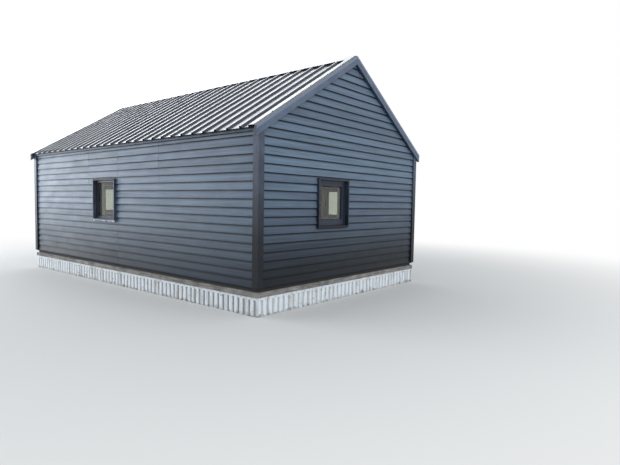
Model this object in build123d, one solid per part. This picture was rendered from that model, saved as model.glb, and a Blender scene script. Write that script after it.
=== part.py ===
"""Timber-framed workshop shed with lapped cladding, a ribbed steel roof and a ribbed steel plinth.

Millimetres, +Z up. The origin is the middle of the footprint at the lowest point of the plinth.
+X points to the right gable and -Y to the front, the long wall with a window.
Distances called inset are measured inwards from the outer face of the corner trims.
"""
import os
from math import cos, radians, sin, tan

from build123d import *

# Overall sizes, over the corner trims
LENGTH = 9200.0
WIDTH = 5600.0

# Heights of the base, one above the other
PLINTH_HEIGHT = 337.0
SILL_HEIGHT = 88.0
STARTER_GAP = 75.0

# Roof form: height of the sheet's lower edge over the plinth's foot, slope and overhangs
EAVE_HEIGHT = 3238.0
ROOF_PITCH = 32.0
EAVE_OVERHANG = 63.0
VERGE_OVERHANG = 35.0

# Wall layers from outside to inside. The cladding is two planks thick where they lap.
TRIM_THICKNESS = 24.0
TRIM_WIDTH = 137.0
CLADDING_THICKNESS = 44.0
WALL_THICKNESS = 200.0

# Base layers
SILL_INSET = 22.0
PLINTH_INSET = 36.0
PLINTH_RIB_PITCH = 137.5
PLINTH_RIB_DEPTH = 20.0
PLINTH_GROOVE_FLOOR = 30.0
PLINTH_GROOVE_MOUTH = 62.0
PLINTH_FIRST_GROOVE = 155.0
PLINTH_GAUGE = 5.0
PLINTH_CAP_HEIGHT = 46.0
PLINTH_CAP_GAUGE = 3.0

# Floor and its supports
DECK_THICKNESS = 28.0
JOIST_WIDTH = 60.0
JOIST_COUNT = 13
PIER_ROWS = 4
PIER_LENGTH = 390.0
PIER_WIDTH = 190.0
PIER_INSET = 85.0

# Roof sheet: three ribs to a metre of cover
SHEET_GAUGE = 5.0
RIB_PITCH = 333.0
RIB_HEIGHT = 35.0
RIB_TOP = 30.0
RIB_BASE = 76.0
FIRST_RIB = 52.0
RIDGE_GAP = 40.0

# Roof timbers
BATTEN_HEIGHT = 32.0
BATTEN_WIDTH = 70.0
BATTEN_COUNT = 5
BATTEN_EDGE = 45.0
RAFTER_WIDTH = 50.0
RAFTER_DEPTH = 140.0
RAFTER_COUNT = 9
RIDGE_BOARD_THICKNESS = 32.0
RIDGE_BOARD_DEPTH = 200.0

# Roof edges. A level is measured square to the slope, from the pans of the sheet.
FASCIA_BELOW_SHEET = 46.0
BARGE_FOOT_LEVEL = -125.0
BARGE_PAST_SHEET = 22.0
FLASHING_GAUGE = 3.0
VERGE_LAP = 132.0
VERGE_EDGE_LEVEL = 20.0
VERGE_DROP = 46.0
RIDGE_FLANGE = 170.0

# Windows: clear opening in the wall, foot of the opening, surround and frames
WINDOW_WIDTH = 960.0
WINDOW_HEIGHT = 915.0
WINDOW_FOOT = 1527.0
CASING_THICKNESS = 25.0
CASING_PROUD = 20.0
FRAME_SETBACK = 55.0
FRAME_DEPTH = 70.0
FIXED_FRAME_FACE = 55.0
OPENING_FRAME_FACE = 50.0
SASH_FACE = 70.0
SASH_DEPTH = 52.0
SASH_SETBACK = 8.0
GLASS_THICKNESS = 24.0
GLASS_SETBACK = 34.0
GLASS_BITE = 12.0
FRONT_WINDOW_X = -600.0
RIGHT_WINDOW_Y = -679.0
LEFT_WINDOW_Y = -365.0
BACK_WINDOW_X = 2216.0

# Door in the back wall
DOOR_X = 1000.0
DOOR_WIDTH = 900.0
DOOR_HEAD = 2500.0
DOOR_FRAME_FACE = 48.0
DOOR_FRAME_SETBACK = 6.0
DOOR_FRAME_DEPTH = 110.0
DOOR_THRESHOLD = 32.0
DOOR_CLEARANCE = 3.0
DOOR_LEAF_THICKNESS = 48.0
DOOR_LEAF_SETBACK = 14.0
HANDLE_HEIGHT = 1480.0
HANDLE_EDGE = 62.0
HANDLE_PLATE = (40.0, 210.0, 7.0)
LEVER_RADIUS = 9.0
LEVER_STANDOFF = 48.0
LEVER_LENGTH = 120.0

# How far a cutting shape reaches past what it cuts
CUT = 1.0

# Levels worked out from the sizes above
SILL_TOP = PLINTH_HEIGHT + SILL_HEIGHT
CLADDING_FOOT = SILL_TOP + STARTER_GAP
DECK_TOP = SILL_TOP + DECK_THICKNESS
WALL_INSET = TRIM_THICKNESS + CLADDING_THICKNESS
WALL_INNER_INSET = WALL_INSET + WALL_THICKNESS

# The slope is measured from the ridge: s runs down the slope, n stands square to it
COS = cos(radians(ROOF_PITCH))
SIN = sin(radians(ROOF_PITCH))
EAVE_Y = WIDTH / 2 + EAVE_OVERHANG
PAN_APEX = EAVE_HEIGHT + EAVE_Y * tan(radians(ROOF_PITCH))
SLOPE_LENGTH = EAVE_Y / COS
SLOPE = Plane(origin=(0, 0, PAN_APEX), x_dir=(1, 0, 0), z_dir=(0, -COS, -SIN))
BATTEN_TOP_N = -SHEET_GAUGE
RAFTER_TOP_N = BATTEN_TOP_N - BATTEN_HEIGHT
RAFTER_FOOT_N = RAFTER_TOP_N - RAFTER_DEPTH
BARGE_TOP_N = VERGE_EDGE_LEVEL - FLASHING_GAUGE
BARGE_END_Y = EAVE_Y + BARGE_PAST_SHEET
FLASHING_TOP_N = RIB_HEIGHT + FLASHING_GAUGE
VERGE_X = LENGTH / 2 + VERGE_OVERHANG
BARGE_INNER_X = LENGTH / 2 - TRIM_THICKNESS
BARGE_OUTER_X = VERGE_X - FLASHING_GAUGE
FAR = 2 * LENGTH

# Ribs are set out from the right gable. The outer edges of the first and last rib's tops carry the flashings.
LAST_RIB_X = LENGTH / 2 - FIRST_RIB - RIB_PITCH * int((LENGTH - FIRST_RIB) / RIB_PITCH)
RIGHT_CREST = LENGTH / 2 - FIRST_RIB + RIB_TOP / 2
LEFT_CREST = -LAST_RIB_X + RIB_TOP / 2

# One plane a side: local X runs along the wall, local Y is up and local Z points outwards
SIDES = {
    "front": Plane(origin=(0, -WIDTH / 2, 0), x_dir=(1, 0, 0), z_dir=(0, -1, 0)),
    "right": Plane(origin=(LENGTH / 2, 0, 0), x_dir=(0, 1, 0), z_dir=(1, 0, 0)),
    "back": Plane(origin=(0, WIDTH / 2, 0), x_dir=(-1, 0, 0), z_dir=(0, 1, 0)),
    "left": Plane(origin=(-LENGTH / 2, 0, 0), x_dir=(0, -1, 0), z_dir=(-1, 0, 0)),
}
LONG_SIDES = ("front", "back")

# Where each window's middle lies along its own wall, and whether it has an opening sash
WINDOWS = {
    "front": (FRONT_WINDOW_X, False),
    "right": (RIGHT_WINDOW_Y, True),
    "back": (-BACK_WINDOW_X, True),
    "left": (-LEFT_WINDOW_Y, True),
}
DOOR_MIDDLE = -DOOR_X

PARTS = {}


def block(x_span, y_span, z_span):
    """A box between three pairs of limits."""
    size = [span[1] - span[0] for span in (x_span, y_span, z_span)]
    middle = [(span[0] + span[1]) / 2 for span in (x_span, y_span, z_span)]
    return Pos(*middle) * Box(*size)


def on_side(side, u_span, v_span, w_span):
    """A box on one wall: u along the wall, v up, w outwards from the corner trims' face."""
    return SIDES[side].location * block(u_span, v_span, w_span)


def on_slope(x_span, n_span, s_span):
    """A box on the front slope."""
    return SLOPE.location * block(x_span, n_span, s_span)


def to_back(solid):
    """The same piece on the other slope or long wall."""
    return mirror(solid, about=Plane.XZ)


def slope_height(y_distance, n):
    """Height of the level n over the slope, at a distance from the ridge line."""
    return PAN_APEX - y_distance * tan(radians(ROOF_PITCH)) + n / COS


def half_run(side, outer_inset, inner_inset):
    """Half the length of a wall layer: long sides run through, short sides fit between them."""
    if side in LONG_SIDES:
        return LENGTH / 2 - outer_inset
    return WIDTH / 2 - inner_inset


def layer(side, outer_inset, inner_inset, foot, top):
    """A straight layer of one wall between two insets and two levels."""
    half = half_run(side, outer_inset, inner_inset)
    return on_side(side, (-half, half), (foot, top), (-inner_inset, -outer_inset))


def gable_layer(side, outer_inset, inner_inset, foot, top_n):
    """A gable layer with a pointed top that follows the roof at level top_n."""
    half = half_run(side, outer_inset, inner_inset)
    shoulder = slope_height(half, top_n)
    outline = [(-half, foot), (half, foot), (half, shoulder), (0, slope_height(0, top_n)), (-half, shoulder)]
    face = SIDES[side] * make_face(Polyline(*outline, close=True))
    solid = extrude(face, amount=-(inner_inset - outer_inset))
    return Pos(*(SIDES[side].z_dir * -outer_inset)) * solid


def ring(side, middle, width, foot, height, face, w_span):
    """A four-sided frame on a wall, measured over its outside."""
    outside = on_side(side, (middle - width / 2, middle + width / 2), (foot, foot + height), w_span)
    hole = on_side(
        side,
        (middle - width / 2 + face, middle + width / 2 - face),
        (foot + face, foot + height - face),
        (w_span[0] - CUT, w_span[1] + CUT),
    )
    return outside - hole


def window_hole(side, margin=0.0):
    """The space a window takes from its wall, widened by a margin all round."""
    middle = WINDOWS[side][0]
    half = WINDOW_WIDTH / 2 + margin
    return on_side(
        side,
        (middle - half, middle + half),
        (WINDOW_FOOT - margin, WINDOW_FOOT + WINDOW_HEIGHT + margin),
        (-WALL_INNER_INSET - CUT, CUT),
    )


def door_hole(foot):
    """The space the door takes from the back wall."""
    half = DOOR_WIDTH / 2
    return on_side(
        "back",
        (DOOR_MIDDLE - half, DOOR_MIDDLE + half),
        (foot - CUT, DOOR_HEAD),
        (-WALL_INNER_INSET - CUT, CUT),
    )


def trapezoid_line(start, end, first, pitch, top, base, height):
    """Corner points of a ribbed line from start to end: pans at 0, ribs at height."""
    points = [(start, 0.0)]
    middle = first
    while middle - base / 2 < end:
        points += [
            (middle - base / 2, 0.0),
            (middle - top / 2, height),
            (middle + top / 2, height),
            (middle + base / 2, 0.0),
        ]
        middle += pitch
    points.append((max(end, middle - pitch + base / 2) + CUT, 0.0))
    return points


def ribbed_face(start, end, first, pitch, top, base, height, gauge):
    """A ribbed strip of even gauge, its upper line at 0 in the pans, cut square at both ends."""
    upper = trapezoid_line(start - pitch, end, first, pitch, top, base, height)
    lower = [(x, y - gauge) for x, y in reversed(upper)]
    strip = make_face(Polyline(*upper, *lower, close=True))
    tall = abs(height) + 2 * gauge
    window = Pos((start + end) / 2, 0) * Rectangle(end - start, 4 * tall)
    return strip & window


def add_foundation():
    """Block piers on the ground, the joists they carry and the deck on the joists."""
    inner_x = LENGTH / 2 - WALL_INNER_INSET
    inner_y = WIDTH / 2 - WALL_INNER_INSET
    pitch = 2 * inner_x / (JOIST_COUNT + 1)
    joist_x = [-inner_x + pitch * (index + 1) for index in range(JOIST_COUNT)]
    joists = [
        block((x - JOIST_WIDTH / 2, x + JOIST_WIDTH / 2), (-inner_y, inner_y), (PLINTH_HEIGHT, SILL_TOP))
        for x in joist_x
    ]
    pier_y = WIDTH / 2 - PIER_INSET - PIER_LENGTH / 2
    pier_x = [joist_x[round(row * (JOIST_COUNT - 1) / (PIER_ROWS - 1))] for row in range(PIER_ROWS)]
    piers = [
        block(
            (x - PIER_WIDTH / 2, x + PIER_WIDTH / 2),
            (y - PIER_LENGTH / 2, y + PIER_LENGTH / 2),
            (0, PLINTH_HEIGHT),
        )
        for x in pier_x
        for y in (-pier_y, 0, pier_y)
    ]
    PARTS["floor_joists"] = Compound(children=joists)
    PARTS["foundation_piers"] = Compound(children=piers)
    PARTS["floor_deck"] = block((-inner_x, inner_x), (-inner_y, inner_y), (SILL_TOP, DECK_TOP))


def add_plinth_sheets():
    """Upright ribbed sheets round the base: wide flats outside, narrow grooves between them."""
    back_of_sheet = PLINTH_INSET + PLINTH_RIB_DEPTH + PLINTH_GAUGE
    for side, plane in SIDES.items():
        half = half_run(side, PLINTH_INSET, back_of_sheet)
        over_trims = LENGTH / 2 if side in LONG_SIDES else WIDTH / 2
        strip = ribbed_face(
            -half, half, -over_trims + PLINTH_FIRST_GROOVE, PLINTH_RIB_PITCH,
            PLINTH_GROOVE_FLOOR, PLINTH_GROOVE_MOUTH, -PLINTH_RIB_DEPTH, PLINTH_GAUGE,
        )
        outer_face = plane.origin - plane.z_dir * PLINTH_INSET
        plan = Plane(origin=outer_face, x_dir=plane.x_dir, z_dir=(0, 0, -1))
        PARTS[f"plinth_sheet_{side}"] = extrude(plan * strip, amount=-PLINTH_HEIGHT)


def add_plinth_cap():
    """A flat steel strip round the top of the plinth sheets, over the open ends of the grooves."""
    foot = PLINTH_HEIGHT - PLINTH_CAP_HEIGHT
    inset = PLINTH_INSET - PLINTH_CAP_GAUGE
    outer = Box(LENGTH - 2 * inset, WIDTH - 2 * inset, PLINTH_CAP_HEIGHT)
    inner = Box(LENGTH - 2 * PLINTH_INSET, WIDTH - 2 * PLINTH_INSET, PLINTH_CAP_HEIGHT + 2 * CUT)
    PARTS["plinth_cap"] = Pos(0, 0, foot + PLINTH_CAP_HEIGHT / 2) * (outer - inner)


def add_sills():
    """Sill beams under the walls: the long pair runs through, the short pair fits between."""
    beams = {side: layer(side, SILL_INSET, WALL_INNER_INSET, PLINTH_HEIGHT, SILL_TOP) for side in SIDES}
    PARTS["sill_beams_long"] = Compound(children=[beams["front"], beams["back"]])
    PARTS["sill_beams_short"] = Compound(children=[beams["left"], beams["right"]])


def add_walls():
    """Framed and lined wall panels with their openings cut through."""
    outer_y = WIDTH / 2 - WALL_INSET
    inner_y = WIDTH / 2 - WALL_INNER_INSET
    half = half_run("front", WALL_INSET, WALL_INNER_INSET)
    section = [
        (-outer_y, SILL_TOP),
        (-inner_y, SILL_TOP),
        (-inner_y, slope_height(inner_y, RAFTER_FOOT_N)),
        (-outer_y, slope_height(outer_y, RAFTER_FOOT_N)),
    ]
    face = Plane.YZ * make_face(Polyline(*section, close=True))
    long_wall = extrude(face, amount=half, both=True)
    walls = {
        "front": long_wall,
        "back": to_back(long_wall) - door_hole(SILL_TOP),
        "right": gable_layer("right", WALL_INSET, WALL_INNER_INSET, SILL_TOP, RAFTER_TOP_N),
        "left": gable_layer("left", WALL_INSET, WALL_INNER_INSET, SILL_TOP, RAFTER_TOP_N),
    }
    for side, wall in walls.items():
        PARTS[f"wall_{side}"] = wall - window_hole(side)


def add_cladding():
    """The cladding's plain layer, up to the underside of the roof sheet."""
    long_top = slope_height(WIDTH / 2 - TRIM_THICKNESS, BATTEN_TOP_N)
    for side in SIDES:
        if side in LONG_SIDES:
            skin = layer(side, TRIM_THICKNESS, WALL_INSET, CLADDING_FOOT, long_top)
        else:
            skin = gable_layer(side, TRIM_THICKNESS, WALL_INSET, CLADDING_FOOT, BATTEN_TOP_N)
        if side == "back":
            skin -= door_hole(SILL_TOP)
        PARTS[f"cladding_{side}"] = skin - window_hole(side, CASING_THICKNESS)


def add_corner_trims(barges):
    """Four L-shaped corner boards, their tops cut to the undersides of the roof sheets and barge boards."""
    height = slope_height(WIDTH / 2 - TRIM_WIDTH, BATTEN_TOP_N) - CLADDING_FOOT
    above = on_slope((-FAR, FAR), (BATTEN_TOP_N, FAR), (-FAR, FAR))
    trims = []
    for x_way in (1, -1):
        for y_way in (1, -1):
            corner = Box(TRIM_WIDTH, TRIM_WIDTH, height)
            inside = Pos(-x_way * TRIM_THICKNESS, -y_way * TRIM_THICKNESS, 0) * Box(
                TRIM_WIDTH, TRIM_WIDTH, height + 2 * CUT
            )
            trim = Pos(
                x_way * (LENGTH / 2 - TRIM_WIDTH / 2),
                y_way * (WIDTH / 2 - TRIM_WIDTH / 2),
                CLADDING_FOOT + height / 2,
            ) * (corner - inside)
            trim -= above if y_way < 0 else to_back(above)
            for barge in barges:
                trim -= barge
            trims.append(trim)
    PARTS["corner_trims"] = Compound(children=trims)


def add_windows():
    """Box surrounds, frames, opening sashes and sealed glass units."""
    casings = []
    sashes = []
    for side, (middle, has_sash) in WINDOWS.items():
        casings.append(ring(
            side, middle, WINDOW_WIDTH + 2 * CASING_THICKNESS, WINDOW_FOOT - CASING_THICKNESS,
            WINDOW_HEIGHT + 2 * CASING_THICKNESS, CASING_THICKNESS, (-WALL_INSET, CASING_PROUD),
        ))
        frame_face = OPENING_FRAME_FACE if has_sash else FIXED_FRAME_FACE
        frame = ring(
            side, middle, WINDOW_WIDTH, WINDOW_FOOT, WINDOW_HEIGHT, frame_face,
            (-FRAME_SETBACK - FRAME_DEPTH, -FRAME_SETBACK),
        )
        sight = frame_face
        if has_sash:
            sash_front = -FRAME_SETBACK - SASH_SETBACK
            sashes.append(ring(
                side, middle, WINDOW_WIDTH - 2 * frame_face, WINDOW_FOOT + frame_face,
                WINDOW_HEIGHT - 2 * frame_face, SASH_FACE, (sash_front - SASH_DEPTH, sash_front),
            ))
            sight += SASH_FACE
        glass_front = -FRAME_SETBACK - GLASS_SETBACK
        half = WINDOW_WIDTH / 2 - sight + GLASS_BITE
        glass = on_side(
            side,
            (middle - half, middle + half),
            (WINDOW_FOOT + sight - GLASS_BITE, WINDOW_FOOT + WINDOW_HEIGHT - sight + GLASS_BITE),
            (glass_front - GLASS_THICKNESS, glass_front),
        )
        PARTS[f"window_frame_{side}"] = frame - glass
        if has_sash:
            sashes[-1] -= glass
        PARTS[f"window_glass_{side}"] = glass
    PARTS["window_casings"] = Compound(children=casings)
    PARTS["window_sashes"] = Compound(children=sashes)


def add_door():
    """A plain door that opens outwards: frame with threshold, leaf, lever handle on a long plate."""
    half = DOOR_WIDTH / 2
    front_w = -DOOR_FRAME_SETBACK
    back_w = front_w - DOOR_FRAME_DEPTH
    outside = on_side(
        "back", (DOOR_MIDDLE - half, DOOR_MIDDLE + half), (SILL_TOP, DOOR_HEAD), (back_w, front_w)
    )
    clear = half - DOOR_FRAME_FACE
    foot = SILL_TOP + DOOR_THRESHOLD
    head = DOOR_HEAD - DOOR_FRAME_FACE
    hole = on_side(
        "back", (DOOR_MIDDLE - clear, DOOR_MIDDLE + clear), (foot, head), (back_w - CUT, front_w + CUT)
    )
    PARTS["door_frame"] = outside - hole
    leaf_front = front_w - DOOR_LEAF_SETBACK
    leaf_half = clear - DOOR_CLEARANCE
    leaf = on_side(
        "back",
        (DOOR_MIDDLE - leaf_half, DOOR_MIDDLE + leaf_half),
        (foot, head - DOOR_CLEARANCE),
        (leaf_front - DOOR_LEAF_THICKNESS, leaf_front),
    )
    PARTS["door_leaf"] = leaf
    handle_u = DOOR_MIDDLE + leaf_half - HANDLE_EDGE
    plate_width, plate_height, plate_depth = HANDLE_PLATE
    plate = on_side(
        "back",
        (handle_u - plate_width / 2, handle_u + plate_width / 2),
        (HANDLE_HEIGHT - plate_height / 2, HANDLE_HEIGHT + plate_height / 2),
        (leaf_front, leaf_front + plate_depth),
    )
    back = SIDES["back"].location
    neck_foot = leaf_front + plate_depth
    neck = back * Pos(handle_u, HANDLE_HEIGHT, neck_foot + LEVER_STANDOFF / 2) * Cylinder(
        LEVER_RADIUS, LEVER_STANDOFF
    )
    lever_middle = (handle_u - LEVER_LENGTH / 2 + LEVER_RADIUS, HANDLE_HEIGHT, neck_foot + LEVER_STANDOFF)
    lever = back * Pos(*lever_middle) * Rot(0, 90, 0) * Cylinder(LEVER_RADIUS, LEVER_LENGTH)
    PARTS["door_handle"] = plate + neck + lever


def add_roof_timbers():
    """Rafters from the ridge board to the long walls, and battens across them."""
    outer_y = WIDTH / 2 - WALL_INSET
    inner_x = LENGTH / 2 - WALL_INNER_INSET
    pitch = 2 * inner_x / (RAFTER_COUNT + 1)
    board_half = RIDGE_BOARD_THICKNESS / 2
    keep = block((-FAR, FAR), (-outer_y, -board_half), (-FAR, FAR))
    rafters = []
    for index in range(RAFTER_COUNT):
        x = -inner_x + pitch * (index + 1)
        blank = on_slope(
            (x - RAFTER_WIDTH / 2, x + RAFTER_WIDTH / 2),
            (RAFTER_FOOT_N, RAFTER_TOP_N),
            (-RAFTER_DEPTH, SLOPE_LENGTH + RAFTER_DEPTH),
        )
        rafter = blank & keep
        rafters += [rafter, to_back(rafter)]
    PARTS["rafters"] = Compound(children=rafters)
    board_top = slope_height(board_half, RAFTER_TOP_N)
    PARTS["ridge_board"] = block(
        (-inner_x, inner_x), (-board_half, board_half), (board_top - RIDGE_BOARD_DEPTH, board_top)
    )
    first = RIDGE_GAP + BATTEN_WIDTH / 2
    last = outer_y / COS - BATTEN_WIDTH / 2 - BATTEN_EDGE
    reach = LENGTH / 2 - WALL_INSET
    battens = []
    for index in range(BATTEN_COUNT):
        s = first + (last - first) * index / (BATTEN_COUNT - 1)
        batten = on_slope(
            (-reach, reach), (RAFTER_TOP_N, BATTEN_TOP_N), (s - BATTEN_WIDTH / 2, s + BATTEN_WIDTH / 2)
        )
        battens += [batten, to_back(batten)]
    PARTS["roof_battens"] = Compound(children=battens)


def add_roof_sheets():
    """Ribbed steel sheets: each slope is one run of three-rib sheets, cut off at the barge boards."""
    reach = BARGE_INNER_X
    strip = ribbed_face(
        -reach, reach, LAST_RIB_X, RIB_PITCH, RIB_TOP, RIB_BASE, RIB_HEIGHT, SHEET_GAUGE
    )
    sheet = SLOPE.location * (Pos(0, 0, RIDGE_GAP) * extrude(strip, amount=SLOPE_LENGTH - RIDGE_GAP))
    PARTS["roof_sheet_front"] = sheet
    PARTS["roof_sheet_back"] = to_back(sheet)


def front_slope_only(solid):
    """What lies between the ridge line and the plumb cut at the barge boards' lower ends."""
    return solid & block((-FAR, FAR), (-BARGE_END_Y, 0), (-FAR, FAR))


def make_barge(x_way):
    """One front barge board, cut plumb at both ends."""
    x_span = sorted((x_way * BARGE_INNER_X, x_way * BARGE_OUTER_X))
    return front_slope_only(on_slope(x_span, (BARGE_FOOT_LEVEL, BARGE_TOP_N), (-FAR, FAR)))


def bent_sheet(upper_line, s_span):
    """A flashing of even gauge on the front slope, given by its upper line across the slope."""
    lower_line = [(x, n - FLASHING_GAUGE) for x, n in reversed(upper_line)]
    face = make_face(Polyline(*upper_line, *lower_line, close=True))
    strip = extrude(face, amount=s_span[1] - s_span[0])
    return front_slope_only(SLOPE.location * (Pos(0, 0, s_span[0]) * strip))


def make_verge_flashing(crest, inner_edge, turned_down):
    """A right-hand flashing over both barge boards of a gable, its inner edge turned down or not."""
    leg_x = (BARGE_OUTER_X, VERGE_X)
    leg_foot = VERGE_EDGE_LEVEL - VERGE_DROP
    below_ridge = (RIDGE_FLANGE, 2 * SLOPE_LENGTH)
    upper_line = [(inner_edge, FLASHING_TOP_N), (crest, FLASHING_TOP_N), (VERGE_X, VERGE_EDGE_LEVEL)]
    flashing = bent_sheet(upper_line, below_ridge)
    flashing += front_slope_only(
        on_slope(leg_x, (leg_foot, VERGE_EDGE_LEVEL - FLASHING_GAUGE / 2), below_ridge)
    )
    flashing += front_slope_only(on_slope(leg_x, (leg_foot, BARGE_TOP_N), (-RIDGE_FLANGE, RIDGE_FLANGE)))
    if turned_down:
        lip = on_slope((inner_edge, inner_edge + FLASHING_GAUGE), (0, RIB_HEIGHT), below_ridge)
        flashing += front_slope_only(lip)
    return flashing + to_back(flashing)


def add_verge_flashings():
    """Steel angles over the barges. The left one ends on a rib, the right one is turned down to a pan."""
    PARTS["verge_flashing_right"] = make_verge_flashing(RIGHT_CREST, RIGHT_CREST - VERGE_LAP, True)
    left_edge = LEFT_CREST - RIB_TOP + FLASHING_GAUGE
    left = make_verge_flashing(LEFT_CREST, left_edge, False)
    PARTS["verge_flashing_left"] = mirror(left, about=Plane.YZ)


def add_barges():
    """Barge boards on both gables. Returns them, because the corner trims are cut to fit under them."""
    front_barges = [make_barge(1), make_barge(-1)]
    back_barges = [to_back(barge) for barge in front_barges]
    PARTS["barge_boards_front"] = Compound(children=front_barges)
    PARTS["barge_boards_back"] = Compound(children=back_barges)
    return front_barges + back_barges


def add_fascias():
    """Fascia boards under the lower edges of the roof sheets, between the corner boards."""
    reach = LENGTH / 2 - TRIM_WIDTH
    outer_y = WIDTH / 2
    inner_y = WIDTH / 2 - TRIM_THICKNESS
    foot = EAVE_HEIGHT - SHEET_GAUGE / COS - FASCIA_BELOW_SHEET
    profile = [
        (-outer_y, foot),
        (-inner_y, foot),
        (-inner_y, slope_height(inner_y, BATTEN_TOP_N)),
        (-outer_y, slope_height(outer_y, BATTEN_TOP_N)),
    ]
    fascia = extrude(Plane.YZ * make_face(Polyline(*profile, close=True)), amount=reach, both=True)
    PARTS["fascia_boards"] = Compound(children=[fascia, to_back(fascia)])


def add_ridge_cap():
    """One bent cap over both slopes. It lies on the ribs and falls to the verge at both gables."""
    upper_line = [
        (-VERGE_X, VERGE_EDGE_LEVEL),
        (-LEFT_CREST, FLASHING_TOP_N),
        (RIGHT_CREST, FLASHING_TOP_N),
        (VERGE_X, VERGE_EDGE_LEVEL),
    ]
    front_half = bent_sheet(upper_line, (-RIDGE_FLANGE, RIDGE_FLANGE))
    PARTS["ridge_cap"] = front_half + to_back(front_half)


def build():
    """Make every piece and write one STEP file for each."""
    add_foundation()
    add_plinth_sheets()
    add_plinth_cap()
    add_sills()
    add_walls()
    add_cladding()
    add_windows()
    add_door()
    add_roof_timbers()
    add_roof_sheets()
    add_corner_trims(add_barges())
    add_verge_flashings()
    add_fascias()
    add_ridge_cap()
    os.makedirs("parts", exist_ok=True)
    for name, shape in PARTS.items():
        export_step(shape, f"parts/{name}.step")


build()
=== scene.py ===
"""Boards, small parts, finishes and studio for a timber workshop shed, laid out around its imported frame."""
import math

import bpy
import numpy as np
from bpy.props import FloatProperty, FloatVectorProperty, IntProperty, PointerProperty
from mathutils import Matrix, Vector


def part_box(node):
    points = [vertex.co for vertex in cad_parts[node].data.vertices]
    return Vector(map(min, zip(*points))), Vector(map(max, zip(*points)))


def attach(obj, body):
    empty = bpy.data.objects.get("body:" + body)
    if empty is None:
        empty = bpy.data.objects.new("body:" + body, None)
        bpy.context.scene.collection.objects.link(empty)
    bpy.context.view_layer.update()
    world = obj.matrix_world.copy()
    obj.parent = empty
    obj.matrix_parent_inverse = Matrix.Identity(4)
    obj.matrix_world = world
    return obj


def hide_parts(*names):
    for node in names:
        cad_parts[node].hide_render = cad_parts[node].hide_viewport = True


bl_info = {
    "name": "Workshop shed",
    "version": (1, 0, 0),
    "blender": (4, 5, 0),
    "location": "View3D > Sidebar > Shed",
    "description": "Weatherboards, fixings, trims and finishes for a timber shed with a ribbed steel roof",
    "category": "Object",
}

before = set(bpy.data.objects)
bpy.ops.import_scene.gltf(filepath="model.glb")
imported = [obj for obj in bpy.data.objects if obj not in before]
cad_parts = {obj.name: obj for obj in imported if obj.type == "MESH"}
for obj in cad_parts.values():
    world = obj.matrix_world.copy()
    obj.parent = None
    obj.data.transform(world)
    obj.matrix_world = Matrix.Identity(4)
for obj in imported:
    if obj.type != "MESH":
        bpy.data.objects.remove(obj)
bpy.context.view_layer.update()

BODY = "root"
SIDES = ("front", "right", "back", "left")
GABLES = ("right", "left")

# Places read from the frame, in metres. The corner trims' faces are the outermost wall faces.
HALF_LENGTH, HALF_WIDTH, TRIM_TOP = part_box("corner_trims")[1]
HALVES = {side: HALF_WIDTH if side in GABLES else HALF_LENGTH for side in SIDES}
BOARD_REACH = {side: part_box("cladding_" + side)[1][1 if side in GABLES else 0] for side in SIDES}
BOARD_TOPS = {side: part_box("cladding_" + side)[1][2] for side in SIDES}
BOARD_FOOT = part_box("cladding_front")[0][2]
BOARD_INSET = HALF_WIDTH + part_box("cladding_front")[0][1]
WALL_INSET = HALF_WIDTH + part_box("wall_front")[0][1]
WALL_INNER_INSET = HALF_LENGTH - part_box("floor_deck")[1][0]
SURROUND_FOOT, SURROUND_HEAD = (corner[2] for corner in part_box("window_casings"))
VERGE_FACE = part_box("verge_flashing_right")[1][0]
BARGE_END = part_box("barge_boards_back")[1][1]
# Sizes of the frame's own steel, battens, panes and trims, which its boxes don't give
SHEET_GAUGE = 0.005
RIB_PITCH = 0.333
RIB_TOP = 0.030
RIB_BASE = 0.076
FIRST_RIB = 0.052
FLASHING_GAUGE = 0.003
RIDGE_FLANGE = 0.170
BATTEN_COUNT = 5
GLASS_BITE = 0.012
TRIM_WIDTH = 0.137

SLOPE_TAN = (BOARD_TOPS["right"] - BOARD_TOPS["front"]) / (HALF_WIDTH - BOARD_INSET)
SLOPE_COS = 1 / math.hypot(1, SLOPE_TAN)
SLOPE_SIN = SLOPE_TAN * SLOPE_COS
PAN_APEX = BOARD_TOPS["right"] + SHEET_GAUGE / SLOPE_COS
FLASHING_TOP = (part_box("ridge_cap")[1][2] - PAN_APEX) * SLOPE_COS
RIB_HEIGHT = FLASHING_TOP - FLASHING_GAUGE
SLOPE_LENGTH = (-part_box("roof_sheet_front")[0][1] - RIB_HEIGHT * SLOPE_SIN) / SLOPE_COS
RIB_COUNT = int((2 * HALF_LENGTH - FIRST_RIB) / RIB_PITCH) + 1
RIBS = HALF_LENGTH - FIRST_RIB - RIB_PITCH * np.arange(RIB_COUNT)

UP = (0.0, 0.0, 1.0)


def plane(origin, along, up):
    """A right-handed local frame: its third axis points outwards, along x up."""
    return np.array(origin, float), np.array([along, up, np.cross(along, up)], float)


# Walls run along, up, and out from the trims' face. Slopes run along the ridge, up, and out from the pans.
WALLS = {
    "front": plane((0, -HALF_WIDTH, 0), (1, 0, 0), UP),
    "right": plane((HALF_LENGTH, 0, 0), (0, 1, 0), UP),
    "back": plane((0, HALF_WIDTH, 0), (-1, 0, 0), UP),
    "left": plane((-HALF_LENGTH, 0, 0), (0, -1, 0), UP),
}
SLOPES = {
    "front": plane((0, 0, PAN_APEX), (1, 0, 0), (0, SLOPE_COS, SLOPE_SIN)),
    "back": plane((0, 0, PAN_APEX), (-1, 0, 0), (0, -SLOPE_COS, SLOPE_SIN)),
}


def wall_box(side, node):
    """A node's limits in its wall's own directions, as (lowest, highest) along, up and out."""
    origin, axes = WALLS[side]
    corners = np.array([axes @ (np.array(corner) - origin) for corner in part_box(node)])
    return corners.min(axis=0), corners.max(axis=0)


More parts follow.
